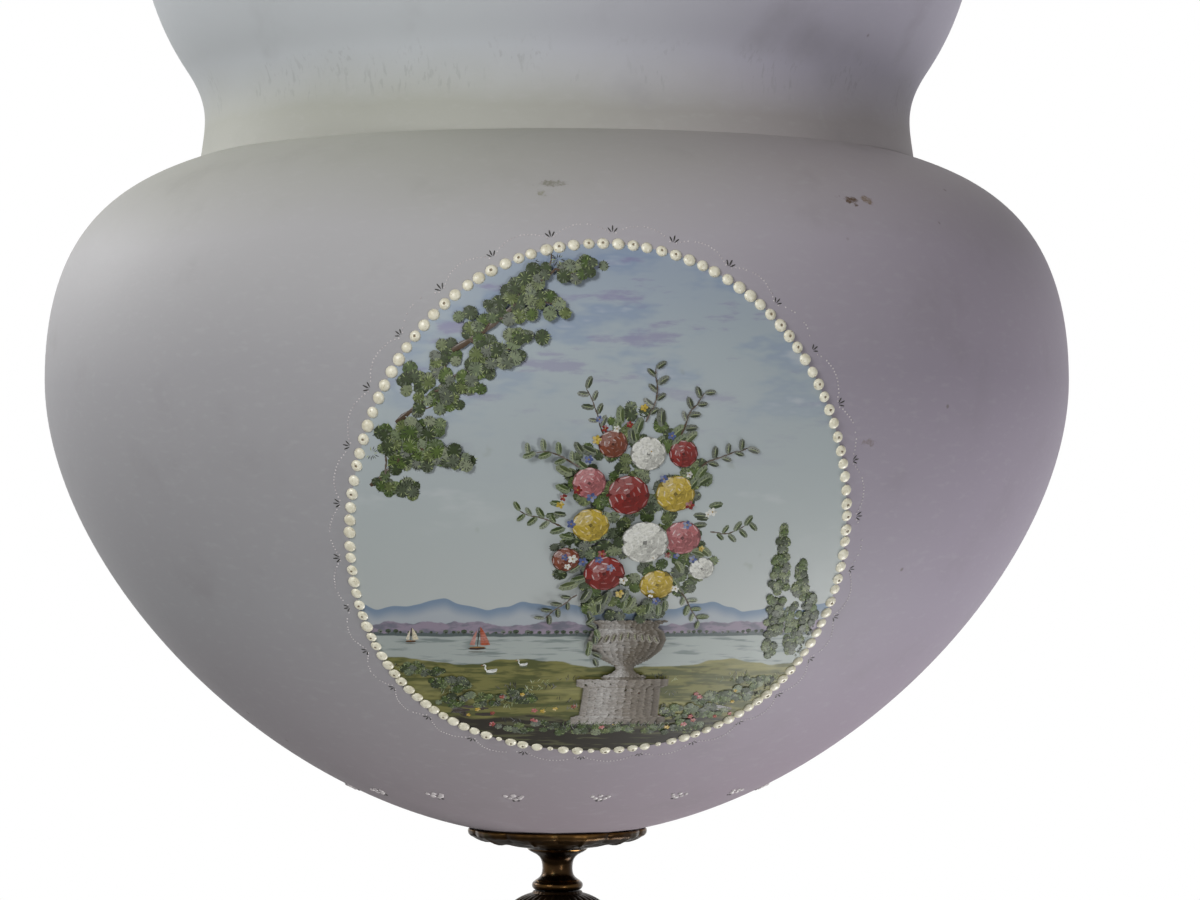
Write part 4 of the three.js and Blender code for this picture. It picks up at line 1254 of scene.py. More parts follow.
    def poplar(self, u, v, height):
        self.line([(u, v), (u + 0.2, v + height * 0.5), (u, v + height * 0.9)], 1.0, srgb(66, 54, 42))
        for k in range(round(height * 2)):
            t = self.chance.random()
            wide = 3.1 * sin(pi * (0.12 + 0.85 * t)) ** 0.8
            x = u + self.wobble(1) * wide
            self.rosette(x, v + height * (0.12 + 0.88 * t), 1.6, self.green())

    def boat(self, u, v, size, sail, away=1):
        """A boat with a mainsail and a foresail of hatched touches, on its reflection."""
        self.touch(u, v - 1.5 * size, 7.5 * size, 0.7 * size, 0, srgb(106, 108, 102), 7)
        self.touch(u, v, 7 * size, 1.5 * size, 0.04, srgb(58, 40, 30), 8)
        self.touch(u, v + 0.5 * size, 6.4 * size, 0.35 * size, 0.04, srgb(170, 120, 60), 6)
        self.line([(u, v), (u + 0.2 * size, v + 9.5 * size)], 0.4, srgb(48, 38, 30))
        for k in range(15):
            t = k / 14
            wide = 3.6 * size * (1 - t) ** 0.8 + 0.3
            tint = lit(sail, 0.18 - 0.4 * abs(t - 0.4) - 0.06 * (k % 2))
            where = (u + away * (wide / 2 + 0.5 * size), v + (1.6 + 7 * t) * size)
            self.touch(*where, wide, 0.75 * size, 0.06 * away, tint, 6, 0.9)
            where = (u - away * (wide / 3 + 0.4 * size), v + (1.6 + 5.6 * t) * size)
            self.touch(*where, wide * 0.55, 0.7 * size, -0.1 * away, lit(tint, 0.15), 6, 0.9)

    def swan(self, u, v, size, away=1):
        white = srgb(214, 216, 212)
        self.touch(u, v - 1.3 * size, 4.6 * size, 0.5 * size, 0, srgb(112, 122, 118), 6)
        self.touch(u, v, 4.4 * size, 1.9 * size, 0.1 * away, white, 9)
        wing = (u + away * 0.9 * size, v + 0.5 * size)
        self.touch(*wing, 2.8 * size, 1.1 * size, 0.4 * away, lit(white, -0.2), 8)
        neck = [(-1.7, 0.4), (-2.3, 1.4), (-2.0, 2.4), (-2.4, 3.0), (-3.0, 2.8)]
        self.line([(u + away * x * size, v + y * size) for x, y in neck], 0.7 * size, white)
        self.touch(u - away * 3.3 * size, v + 2.6 * size, 0.8 * size, 0.35 * size, 0.3, srgb(170, 90, 40), 5)

    def grass(self, u, v, count, spread, colour):
        for _ in range(count):
            x = u + self.wobble(spread)
            a = QUARTER + self.wobble(0.8)
            long = self.between(1.6, 3.4)
            self.touch(x, v + self.wobble(1), long, 0.28, a, self.varied(colour, 0.3), 4, 0.7)

    def rock(self, u, v, width, height):
        """A low rock, lit from above on the left."""
        stone = srgb(66, 58, 52)
        for _ in range(26):
            a, r = self.between(0, TURN), sqrt(self.chance.random())
            x, y = r * width / 2 * cos(a), r * height / 2 * sin(a)
            light = 0.5 * y / height - 0.5 * x / width + self.wobble(0.15)
            shape = (width * self.between(0.14, 0.34), height * self.between(0.12, 0.3))
            self.touch(u + x, v + y, *shape, self.wobble(0.3), lit(stone, light), 6, 0.7)

    def drawn(self):
        """What has been drawn since the last time, as one shape."""
        self.keep()
        made, self.whole = self.whole, bmesh.new()
        self.begin()
        return made


URN = (
    (6.2, 0), (7.4, 1.2), (4.2, 2.4), (2.6, 4.4), (3.0, 6.2), (7.6, 9.2),
    (11.2, 13.2), (12.4, 17.6), (11.4, 20.8), (9.2, 22.4), (9.8, 24.0), (13.0, 25.4),
)
PLINTH = ((15.4, 0), (15.4, 3.6), (12.8, 4.4), (12.4, 18.4), (14.8, 19.4), (14.8, 22.4))
POPLARS = ((66, -50, 42), (58, -54, 58), (71, -51, 30))
FAR_BUSHES = ((-58, -52, 10), (-46, -58, 8), (60, -58, 12), (40, -66, 8), (-24, -64, 7))
NEAR_BUSHES = ((-40, -66, 12, 26), (34, -72, 12, 30), (-8, -80, 22, 40), (26, -80, 18, 34), (50, -64, 8, 20))
BOUGHS = ((-66, 38, 0.75, 36, 7), (-48, 60, 0.35, 40, 6), (-74, 18, 0.5, 20, 7))
MEADOW_FLOWERS = (srgb(150, 60, 58), srgb(176, 96, 100), srgb(190, 160, 60))
GRASSES = (DARK, LEAF_GREENS[1], PALE_GREEN, DARK)
RED, YELLOW, WHITE = srgb(126, 34, 28), srgb(182, 158, 60), srgb(204, 204, 196)
PINK, RUST, BLUE = srgb(168, 100, 102), srgb(118, 60, 38), srgb(74, 88, 134)
FOLIAGE = (
    (0, -22, 16, 8, 34), (-12, -8, 14, 12, 40), (13, -8, 13, 12, 40), (0, 8, 18, 14, 60),
    (-12, 20, 11, 10, 30), (11, 22, 11, 11, 30), (-1, 34, 11, 9, 26),
)
SPRAYS = (
    (-18, 24, 2.6, 17), (-23, 4, 3.0, 14), (20, 24, 0.6, 16), (24, 2, 0.1, 14), (2, 38, 1.5, 17),
    (-11, 34, 2.1, 15), (13, 34, 1.0, 15), (-17, -20, 3.9, 13), (16, -20, 5.4, 13),
)
ROSES = (
    (-9, -12, 6.2, RED), (8, -17, 5.4, YELLOW), (3, -1, 7.2, WHITE), (-14, 5, 5.6, YELLOW),
    (15, 0, 5.8, PINK), (-3, 15, 6.4, RED), (12, 15, 6.0, YELLOW), (-15, 19, 5.0, PINK),
    (3, 28, 5.4, WHITE), (-8, 31, 4.4, RUST), (14, 28, 4.4, RED), (-21, -7, 4.2, RUST), (22, -11, 4.0, WHITE),
)


def mirrored(heading, side):
    return heading if side > 0 else pi - heading


def paint_land(p, side):
    """The boats, swans, trees and bushes of the landscape, under boughs. The side mirrors it."""
    p.tree_row(-70, -36.4, 150, 64)
    p.boat(side * -38, -42.5, 1.0, srgb(158, 74, 44), side)
    p.boat(side * -60, -39.8, 0.62, srgb(206, 196, 168), side)
    p.swan(side * -33, -52.5, 0.95, side)
    p.swan(side * -23, -49.5, 0.7, side)
    for x, y, height in POPLARS:
        p.poplar(side * x, y, height)
    for x, y, width in FAR_BUSHES:
        p.cluster(side * x, y, width, 2.8, 24, 1.8)
    p.rock(side * 44, -73, 22, 7)
    p.rock(side * -44, -71, 24, 8)
    for x, y, width, count in NEAR_BUSHES:
        p.cluster(side * x, y, width, 3.0, count, 1.8)
    for _ in range(34):
        where = (side * p.wobble(50), p.between(-80, -62))
        p.blossom(*where, p.between(0.7, 1.2), p.chance.choice(MEADOW_FLOWERS))
    for _ in range(44):
        p.grass(side * p.wobble(58), p.between(-82, -54), 9, 3.5, p.chance.choice(GRASSES))
    for x, y, heading, length, tufts in BOUGHS:
        p.bough(side * x, y, mirrored(heading, side), length, tufts)


def paint_bouquet(p, side):
    """A bouquet of roses in a stone urn on its plinth."""
    u = side * 9
    p.turned_stone(u, -78, PLINTH, srgb(122, 114, 104))
    p.turned_stone(u, -55.6, URN, srgb(98, 90, 78))
    for k in range(-4, 5):
        p.leaf(u + k * 2.5, -38.5 - abs(k) * 0.3, 4.2, QUARTER + k * 0.12, srgb(110, 102, 88))
    for x, y, width, height, count in FOLIAGE:
        p.cluster(u + side * x, y, width, height, count)
    for k in range(54):
        a = TURN * k / 54 + p.wobble(0.1)
        reach = p.between(0.72, 1.0)
        where = (u + 23 * reach * cos(a), 6 + 33 * reach * sin(a))
        p.leaf(*where, p.between(4.6, 6.6), a + p.wobble(0.5), p.green())
    for x, y, heading, length in SPRAYS:
        p.spray(u + side * x, y, mirrored(heading, side), length, p.green())
    for x, y, radius, colour in ROSES:
        p.rose(u + side * x, y, radius, colour)
    for _ in range(40):
        a, r = p.between(0, TURN), sqrt(p.between(0.2, 1.0))
        where = (u + r * 26 * cos(a), 8 + r * 35 * sin(a))
        p.blossom(*where, p.between(1.0, 1.6), p.chance.choice((BLUE, RED, WHITE, YELLOW, BLUE)))
    for k in range(9):
        x = u + side * (-12 + p.wobble(2))
        p.leaf(x, -26 - 2.4 * k, 4.2, p.wobble(1) - QUARTER, p.green())
    for k in range(-6, 7):
        p.grass(u + 2.6 * k, -78, 7, 2.0, DARK if k % 2 else LEAF_GREENS[1])


def picture_disc(picture):
    """The thin painted oval, flat, with the map that its ground is painted by."""
    rings = [k / PICTURE_RINGS for k in range(PICTURE_RINGS + 1)]
    section = [(r, PICTURE_LIFT) for r in rings] + [(r, PICTURE_BACK) for r in rings[::-2]]
    size = Matrix.Diagonal((picture.half_width / MM, picture.half_height / MM, 1, 1))
    bm = placed(turned(section, 120), rotated(picture.tilt) @ size)
    layer = bm.loops.layers.uv.new("picture")
    for face in bm.faces:
        for loop in face.loops:
            loop[layer].uv = [loop.vert.co[axis] / PICTURE_SPAN + 0.5 for axis in (0, 1)]
    return bm


def add_pictures(picture):
    """The painted oval and its motifs on both sides, the back's mirrored and drawn anew."""
    for k, (name, ground) in enumerate(grounds(picture)):
        bm = picture_disc(picture)
        piece(ground.wrap(bm), "picture_" + name, "bowl", picture_ground, sharp=80)
        painting = Painting(picture, picture.seed + 60 + k)
        side = 1 - 2 * k
        for part, paint in (("land", paint_land), ("bouquet", paint_bouquet)):
            paint(painting, side)
            motifs = ground.wrap(painting.drawn())
            piece(motifs, "picture_%s_%s" % (part, name), "bowl", enamel, sharp=60)


# Operators

ROD_RADIUS = 4.0
ROD_BORE = 4.4
FELT_RADII = (8, 12, 16, 20, 23.9)
HOLDER_RADIUS = 19.5
HOLDER_BORE = 18.0
SMALL_EYE = 6.0
SMALL_EYE_WIRE = 2.3
GALLERY_EYES = 150.0
GALLERY_BEADS = 208
CROWN_EYES = 45.0
CHAIN_LINKS = 7
LINK_PLAY = 0.3
CEILING_BORE = 3.6


class Step:
    """One step of building the lamp, as an operator's."""

    def execute(self, context):
        self.build(context.scene)
        return {"FINISHED"}


class LAMP_OT_bowl(Step, bpy.types.Operator):
    """Spin the opaline bowl and its rolled lip"""

    bl_idname = "lamp.bowl"
    bl_label = "Bowl"

    def build(self, scene):
        wall = scene.lamp_glass.wall / MM
        start = MERIDIAN.reach_to(GLASS_HOLE, 0)
        outside = [MERIDIAN.at(start)[:2]] + [p for p in BOWL_SECTION if p[0] > GLASS_HOLE + 0.5]
        inside = []
        for k in range(1, len(outside) - 3, 2):
            before, after = Vector(outside[k - 1]), Vector(outside[k + 1])
            way = (after - before).normalized()
            inside.append((outside[k][0] - way.y * wall, outside[k][1] + way.x * wall))
        inside[0] = (GLASS_HOLE, inside[0][1])
        lip = arc(RIM[0] - LIP, RIM[1], LIP, 20, 180, 8)
        bm = turned(moved(outside + lip + inside[::-1], BOWL_BOTTOM), 192)
        within = {(round(r, 1), round(z + BOWL_BOTTOM, 1)) for r, z in inside}
        layer = bm.verts.layers.float.new("inner")
        for v in bm.verts:
            v[layer] = (round(hypot(v.co.x, v.co.y), 1), round(v.co.z, 1)) in within
        piece(bm, "bowl_glass", "bowl", opaline, "glass_bowl", sharp=50)


class LAMP_OT_pictures(Step, bpy.types.Operator):
    """Paint the oval pictures at the front and the back"""

    bl_idname = "lamp.pictures"
    bl_label = "Pictures"

    def build(self, scene):
        add_pictures(scene.lamp_picture)


class LAMP_OT_pearls(Step, bpy.types.Operator):
    """Set the rows of enamel pearls round the pictures"""

    bl_idname = "lamp.pearls"
    bl_label = "Pearls"

    def build(self, scene):
        add_pearls(scene.lamp_picture)


class LAMP_OT_festoons(Step, bpy.types.Operator):
    """Dot the festoons, the motifs low on the bowl and the band round the collar"""

    bl_idname = "lamp.festoons"
    bl_label = "Festoons"

    def build(self, scene):
        add_festoons(scene.lamp_picture)
        add_bands(scene.lamp_picture)


class LAMP_OT_leaf_plate(Step, bpy.types.Operator):
    """Cast the leaf plate under the bowl"""

    bl_idname = "lamp.leaf_plate"
    bl_label = "Leaf plate"

    def build(self, scene):
        leaves = scene.lamp_metal.leaves
        bore, seat, felt_room = 4.6, 0.4, 2.1
        top = [(bore, -felt_room), (24.6, glass_height(24.6) - felt_room)]
        top += [(r, glass_height(r) - seat) for r in (25.4, 27.5, 29.5, 30.6)]
        edge = [(31.2, 2.6), (31.25, 1.9), (31.1, 1.1), (30.4, 0.35)]
        under = [
            (29.4, 0.1), (28.2, -0.35), (26.8, -0.9), (25.2, -1.35), (23.6, -1.5), (22.0, -1.45),
            (20.6, -1.7), (19.0, -2.2), (17.2, -2.7), (15.2, -3.15), (13.2, -3.55), (11.6, -3.85),
            (10.2, -4.05), (bore, -4.1),
        ]

        def leaf_folds(turn, radius, z):
            across = abs(sin(turn * leaves / 2))
            side = atan2(sin(turn * leaves), cos(turn * leaves)) / pi
            if radius > 11 and z < glass_height(radius) - 1.4:
                swell = across ** 0.8 - 0.55
                rib = exp(-((1 - abs(side)) / 0.07) ** 2)
                veins = cos(TURN * (radius / 3.1 + abs(side) * 2.2)) * (1 - across) ** 0.2
                fade = 1 if radius < 28 else max(0.3, (31.5 - radius) / 3.5)
                z -= share_of(radius, 11, 24) * fade * (0.85 * swell + 0.45 * rib + 0.13 * veins)
            if radius > 26:
                scallop = (1 - across) ** 1.6 * 1.3 + 0.05 * (1 + cos(turn * leaves * 5))
                radius -= scallop * (radius - 26) / 5
            return radius, z

        bm = reshaped(turned(eased(top + edge + under, 0.3, 2), 300), leaf_folds)
        placed(bm, shifted(0, 0, BOWL_BOTTOM))
        brass_piece(bm, "leaf_plate", "bowl", "bottom_plate", bulge=1.0, finish=dark_brass)


class LAMP_OT_finial(Step, bpy.types.Operator):
    """Turn the spool and the finial, and flute its ball"""

    bl_idname = "lamp.finial"
    bl_label = "Spool and finial"

    def build(self, scene):
        self.add_spool()
        self.add_ball(scene.lamp_metal.flutes)
        self.add_tip()

    def add_spool(self):
        bore, top, bottom = 4.6, -4.4, -18.8
        neck = [
            (10.5, -4.45), (10.3, -4.75), (9.4, -5.35), (8.3, -5.9), (7.2, -6.5), (6.4, -7.2),
            (5.8, -8.1), (5.45, -9.2), (5.3, -10.3), (5.25, -11.3), (5.35, -12.4), (5.6, -13.4),
            (6.1, -14.2), (6.9, -14.9), (7.7, -15.35), (7.85, -15.6), (7.7, -15.75),
        ]
        bead = arc(7.3, -17.15, 1.6, 68, -68, 10)
        section = [(bore, top)] + neck + bead + [(7.7, -18.75), (bore, bottom)]
        bm = turned(moved(section, BOWL_BOTTOM), 96)
        brass_piece(bm, "spool_turned", "bowl", "spool", bulge=1.0, finish=turned_brass)

    def add_ball(self, flutes):
        top, bottom, widest, seat = -19.1, -48.1, 20.0, 8.4
        middle = top - 13.05
        ball = []
        for k in range(1, 45):
            a = pi * k / 45
            height = top - middle if a < QUARTER else middle - bottom
            r, z = widest * sin(a) ** 0.75, middle + height * cos(a)
            if z > bottom + 0.05 and (r > seat + 0.4 or z < middle):
                ball.append((r, z))

        def gadroon(turn, radius, z):
            lobe = abs(sin(turn * flutes / 2)) ** 0.7
            return radius - 1.15 * share_of(radius, 8, 16) * (1 - lobe), z

        bm = reshaped(turned([(0, top), (seat, top)] + ball + [(0, bottom)], flutes * 10), gadroon)
        placed(bm, shifted(0, 0, BOWL_BOTTOM))
        brass_piece(bm, "finial_gadrooned", "finial", "finial_ball", bulge=0.9, finish=dark_brass)

    def add_tip(self):
        low, high = levels("finial_tip")
        tip = [(0, high), (5.6, high)] + arc(5.2, high - 1.4, 1.4, 70, -70, 6)
        tip += [(4.6, high - 3.2), (3.4, high - 4.4), (2.9, high - 5.8), (3.1, high - 7)]
        tip += arc(2.2, high - 9.6, 2.6, 60, -58, 10)
        tip += [(1.7, high - 12.6)] + arc(0, low + 1.7, 1.7, 28, -90, 8)[:-1] + [(0, low)]
        brass_piece(turned(tip, 64), "finial_drop", "finial", "finial_tip")


class LAMP_OT_rod(Step, bpy.types.Operator):
    """Put the felts, the inner plate and the nut on the rod"""

    bl_idname = "lamp.rod"
    bl_label = "Rod and felts"

    def build(self, scene):
        wall = scene.lamp_glass.wall / MM
        self.add_rod()
        self.add_outer_felt()
        self.add_inner_felt(BOWL_BOTTOM + wall + 0.1)
        self.add_plate()
        self.add_nut()

    def add_rod(self):
        low, high = levels("centre_rod")
        chamfer = 0.7
        length = high - low - 2 * chamfer
        steps = round(length / 0.42)
        flank = [(ROD_RADIUS, low + chamfer + length * k / steps) for k in range(steps + 1)]
        rod = [(0, low), (3.4, low)] + flank + [(3.4, high), (0, high)]
        bm = reshaped(turned(rod, 24), thread(1.25, 0.55, low + 0.8, high - 0.8))
        piece(bm, "rod_threaded", "bowl", steel, "centre_rod", bulge=0.6)

    def add_outer_felt(self):
        top, thickness = BOWL_BOTTOM - 0.3, 1.5
        face = [(ROD_BORE, top)] + [(r, glass_height(r) + top) for r in FELT_RADII]
        felt_section = face + [(r, z - thickness) for r, z in reversed(face)]
        piece(turned(felt_section, 72, 0.4), "felt_under_bowl", "bowl", felt, "outer_felt")

    def add_inner_felt(self, bottom):
        high = levels("inner_felt")[1]
        face = [(ROD_BORE, bottom)] + [(r, glass_height(r) + bottom) for r in FELT_RADII]
        felt_section = face + [(24, high), (ROD_BORE, high)]
        piece(turned(felt_section, 72, 0.4), "felt_in_bowl", "bowl", felt, "inner_felt")

    def add_plate(self):
        low, high = levels("inner_plate")
        plate = [(ROD_BORE, low), (26.4, low), (27, low + 0.7), (26.4, high - 0.3)]
        plate += [(18, high), (17, high - 0.5), (ROD_BORE, high - 0.5)]
        piece(turned(plate, 96, 0.35), "plate_in_bowl", "bowl", steel, "inner_plate", bulge=0.8)

    def add_nut(self):
        low, high = levels("rod_nut")
        bm = bmesh.new()
        size = {"radius1": 7.5, "radius2": 7.5, "depth": high - low, "segments": 6}
        matrix = shifted(0, 0, (low + high) / 2) @ rotated(QUARTER)
        bmesh.ops.create_cone(bm, cap_ends=True, matrix=matrix, **size)
        bevel = {"affect": "EDGES", "offset": 0.5, "segments": 3, "profile": 0.5, "material": -1}
        bmesh.ops.bevel(bm, geom=bm.edges[:], **bevel)
        piece(bm, "nut_on_rod", "bowl", steel, "rod_nut", bulge=0.6)


class LAMP_OT_lampholder(Step, bpy.types.Operator):
    """Build the lampholder on the rod"""

    bl_idname = "lamp.lampholder"
    bl_label = "Lampholder"

    def build(self, scene):
        low, high = levels("lampholder_cap")
        outside = [(ROD_BORE, 0), (9.7, 0), (13.4, 1.6), (16.2, 4.3), (18.6, 7.6), (19.4, 10.6)]
        rim = [(HOLDER_RADIUS, -3.4), (19.0, -3.0), (HOLDER_RADIUS, -2.6)]
        rim += [(HOLDER_RADIUS, 0), (HOLDER_BORE, 0)]
        inside = [(HOLDER_BORE, 10.6), (15.5, 10.6), (14.4, 5.8), (ROD_BORE, 2.1)]
        cap = moved(outside, low) + moved(rim, high) + moved(inside, low)
        brass_piece(turned(cap, 96, 0.5), "holder_cap", "bowl", "lampholder_cap")

        low, high = levels("lampholder_shell")
        shell = [
            (HOLDER_BORE, low), (HOLDER_RADIUS, low), (HOLDER_RADIUS, low + 2), (19.1, low + 2.5),
            (HOLDER_RADIUS, low + 3), (HOLDER_RADIUS, high - 3), (20.7, high - 1.9), (20.7, high),
            (HOLDER_BORE, high),
        ]
        brass_piece(turned(shell, 96, 0.4), "holder_shell", "bowl", "lampholder_shell")

        low, high = levels("lampholder_insert")
        seat = levels("bulb_cap")[0] - 0.3
        insert = [(0, low), (17.7, low), (17.7, high), (13.6, high), (13.6, seat), (0, seat)]
        piece(turned(insert, 72, 0.9), "holder_insert", "bowl", porcelain, "lampholder_insert")


class LAMP_OT_bulb(Step, bpy.types.Operator):
    """Screw in the bulb"""

    bl_idname = "lamp.bulb"
    bl_label = "Bulb"

    def build(self, scene):
        self.add_cap()
        self.add_glass()
        self.add_filament()

    def add_cap(self):
        low, high = levels("bulb_cap")
        length = high - low - 7
        foot = [(0, 0), (4, 0), (4.5, 0.6), (4.7, 1.8), (7.5, 2.8), (11.6, 3.8), (12.6, 5)]
        flank = [(12.9, 5 + length * k / 40) for k in range(1, 41)]
        cap = moved(foot + flank, low) + [(12.4, high - 0.6), (12.4, high), (0, high)]
        bm = reshaped(turned(cap, 48), thread(3.6, 1.0, low + 4.6, high - 2.2))
        piece(bm, "bulb_screw_cap", "bulb", cap_metal, "bulb_cap", bulge=1.0)

    def add_glass(self):
        low, high = levels("bulb_glass")
        radius, shrink = 30, 0.973
        globe = high - radius
        flank = bezier((12.2, low), (12.2, low + 20.7), (radius, globe - 22.5), (radius, globe), 24)
        outside = flank + arc(0, globe, radius, 0, 90, 16)[1:-1]
        inside = []
        for r, z in reversed(outside):
            within = r * shrink if r > 14 else r - 0.6
            inside.append((within, z if z < globe else globe + (z - globe) * shrink))
        bm = turned(outside + [(0, high), (0, high - 0.8)] + inside, 72)
        piece(bm, "bulb_envelope", "bulb", bulb_glass, "bulb_glass", sharp=60)

    def add_filament(self):
        low = levels("bulb_glass")[0]
        stem = [(0, 0.5), (6, 0.5), (4.6, 6), (2.4, 20), (2.2, 34), (0, 35)]
        parts = [turned(moved(stem, low), 32)]
        for side in (-1, 1):
            wire = Wire(0.35, side * 1.5, low + 20, 90 - side * 12, 8).run(24).bend(6, -side * 60, 6).run(3)
            parts.append(wire.rounded_off())
        coil = hoop(11, 0.3, 48, 8)
        parts.append(placed(coil, shifted(0, 0, low + 47) @ rotated(QUARTER, "X")))
        piece(together(*parts), "bulb_filament", "bulb", cap_metal, sharp=60)


class LAMP_OT_gallery(Step, bpy.types.Operator):
    """Fit the gallery over the rim, with its beads, felt, eyes and thumb screws"""

    bl_idname = "lamp.gallery"
    bl_label = "Gallery"

    def build(self, scene):
        self.add_ring()
        self.add_beads()
        low, high = levels("gallery_felt")
        felt_section = [(138, low), (146.6, low), (146.8, high), (138, high)]
        piece(turned(felt_section, 200, 0.5), "felt_on_rim", "bowl", felt, "gallery_felt")
        for k, letter in enumerate(LETTERS):
            self.add_eye(letter, of_three(k))
            self.add_screw(letter, of_three(k, 150))

    def add_ring(self):
        low, high = levels("gallery_ring")
        lip = levels("gallery_felt")[1] + 0.3
        shelf = [(135.5, lip), (135.5, lip + 3), (144, lip + 3), (145, high), (150.4, high)]
        roll = [(153.2, high - 1.2)] + arc(152.2, high - 4.2, 2.3, 60, -60, 8)
        band = moved([(152.1, -8.8), (151.6, -9.6), (151.9, -11), (152.1, -12)], high)
        foot = [(152.1, 10.5), (151.5, 9.8), (152.3, 9.0), (152.3, 8.2), (151.6, 7.6), (151.6, 1.6)]
        foot += [(152.6, 1.2), (152.6, 0.3), (151.8, 0), (149.5, 0)]
        section = shelf + roll + band + moved(foot, low) + [(149.5, lip)]

        def rope(turn, radius, z):
            if radius > 152.8 and z > high - 7.5:
                radius -= 0.5 * (1 - abs(sin(turn * 90 + (z - high) * 0.7)))
            return radius, z

        bm = reshaped(turned(eased(section, 0.5, 2, 25), 240), rope)
        brass_piece(bm, "gallery", "bowl", "gallery_ring", bulge=1.6)

    def add_beads(self):
        low = levels("gallery_ring")[0]
        bead = dome_stamp(2.1, 2.1, rings=4, sides=10)
        row = Scatter()
        for k in range(GALLERY_BEADS):
            out = outwards(TURN * k / GALLERY_BEADS, 151.7, low + 4.6)
            row.add(bead, out @ rotated(QUARTER, "Y"))
        freed(bead)
        piece(row.bm, "gallery_beads", "bowl", aged_brass, bulge=2.4, sharp=80)

    def add_eye(self, letter, turn):
        node = "gallery_eye_" + letter
        low, high = levels(node)
        middle = high - SMALL_EYE - SMALL_EYE_WIRE
        foot = middle - 12.8
        collar = [(2.2, 0), (4.2, 0), (4.3, 0.8), (3.9, 1.7), (3.0, 2.6), (2.6, 4.5), (2.3, 6), (0, 6)]
        stem = turned([(0, low), (2.2, low)] + moved(collar, foot), 32, 0.3)
        eye = placed(hoop(SMALL_EYE, SMALL_EYE_WIRE, 40, 14), shifted(0, 0, middle))
        bm = placed(together(stem, eye), outwards(turn, GALLERY_EYES))
        brass_piece(bm, "gallery_loop_" + letter, "bowl", node)

    def add_screw(self, letter, turn):
        node = "grip_screw_" + letter
        tip = 144.75
        shank = turned([(0, 0), (1.4, 0), (2.5, 1), (2.5, 15.2), (0, 15.2)], 24, 0.3)
        reshaped(shank, thread(0.8, 0.3, 1.2, 14))
        head = [(0, 13.75), (4.4, 13.75), (6.4, 14.8), (6.5, 15.4), (6.5, 17), (6.3, 17.7)]
        head += [(5.2, 18.7), (2.5, 19.4), (0, 19.5)]

        def knurl(angle, radius, z):
            if radius > 6.2:
                radius -= 0.35 * (1 - abs(sin(angle * 12)))
            return radius, z

        bm = together(shank, reshaped(turned(head, 120, 0.4), knurl))
        placed(bm, outwards(turn, tip, centre(node).z) @ rotated(QUARTER, "Y"))
        brass_piece(bm, "thumb_screw_" + letter, "bowl", node, bulge=0.8)


class LAMP_OT_chains(Step, bpy.types.Operator):
    """Bend and hang the three chains and their hooks"""

    bl_idname = "lamp.chains"
    bl_label = "Chains"

    def build(self, scene):
        for k, letter in enumerate(LETTERS):
            self.add_chain(scene.lamp_metal, letter, of_three(k))

    def add_chain(self, sizes, letter, turn):
        """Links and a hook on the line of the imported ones, each link a quarter turn from the last."""
        body = "chain_" + letter
        wire = sizes.chain_wire / 2 / MM
        half_width = sizes.link_width / 2 / MM - wire
        links = ["%s_link_%d" % (body, n + 1) for n in range(CHAIN_LINKS)]
        middles = [centre(node) for node in links]
        half = ((middles[1] - middles[0]).length + 2 * wire + LINK_PLAY) / 2
        up = (middles[0] - middles[-1]).normalized()
        side = Vector((-sin(turn), cos(turn), 0))
        axes = axes_of(side.cross(up), side, up)
        for n, (node, middle) in enumerate(zip(links, middles)):
            bm = self.link(half, half_width, wire)
            placed(bm, Matrix.Translation(middle) @ axes @ rotated(QUARTER * (n % 2)))
            piece(bm, "link_%s_%d" % (letter, n + 1), body, chain_brass, node, bulge=1.7)
        node = body + "_hook"
        start = arc(0, 10, 5, 194, 194, 1)[0]
        bm = Wire(wire, *start, 104).bend(5, -224).run(17.32).bend(5, 224).rounded_off()
        placed(bm, Matrix.Translation(centre(node)) @ axes @ rotated(QUARTER))
        piece(bm, "hook_" + letter, body, chain_brass, node, bulge=1.7)

    def link(self, half, half_width, wire):
        """A welded link of bent wire, its long axis upright, a little thicker at the weld."""
        straight = 2 * (half - half_width)
        weld, swell = 1.2, 1.14
        shape = Wire(wire, half_width, -straight / 2, 90).run(straight / 2 - weld)
        shape.run(weld).run(weld).run(straight / 2 - weld).bend(half_width, 180, 14)
        shape.run(straight).bend(half_width, 180, 14)
        bm = closed_up(shape.bm)
        for v in bm.verts:
            if v.co.x > 0 and abs(v.co.z) < 0.1:
                v.co.x = half_width + (v.co.x - half_width) * swell
                v.co.y *= swell
        return bm


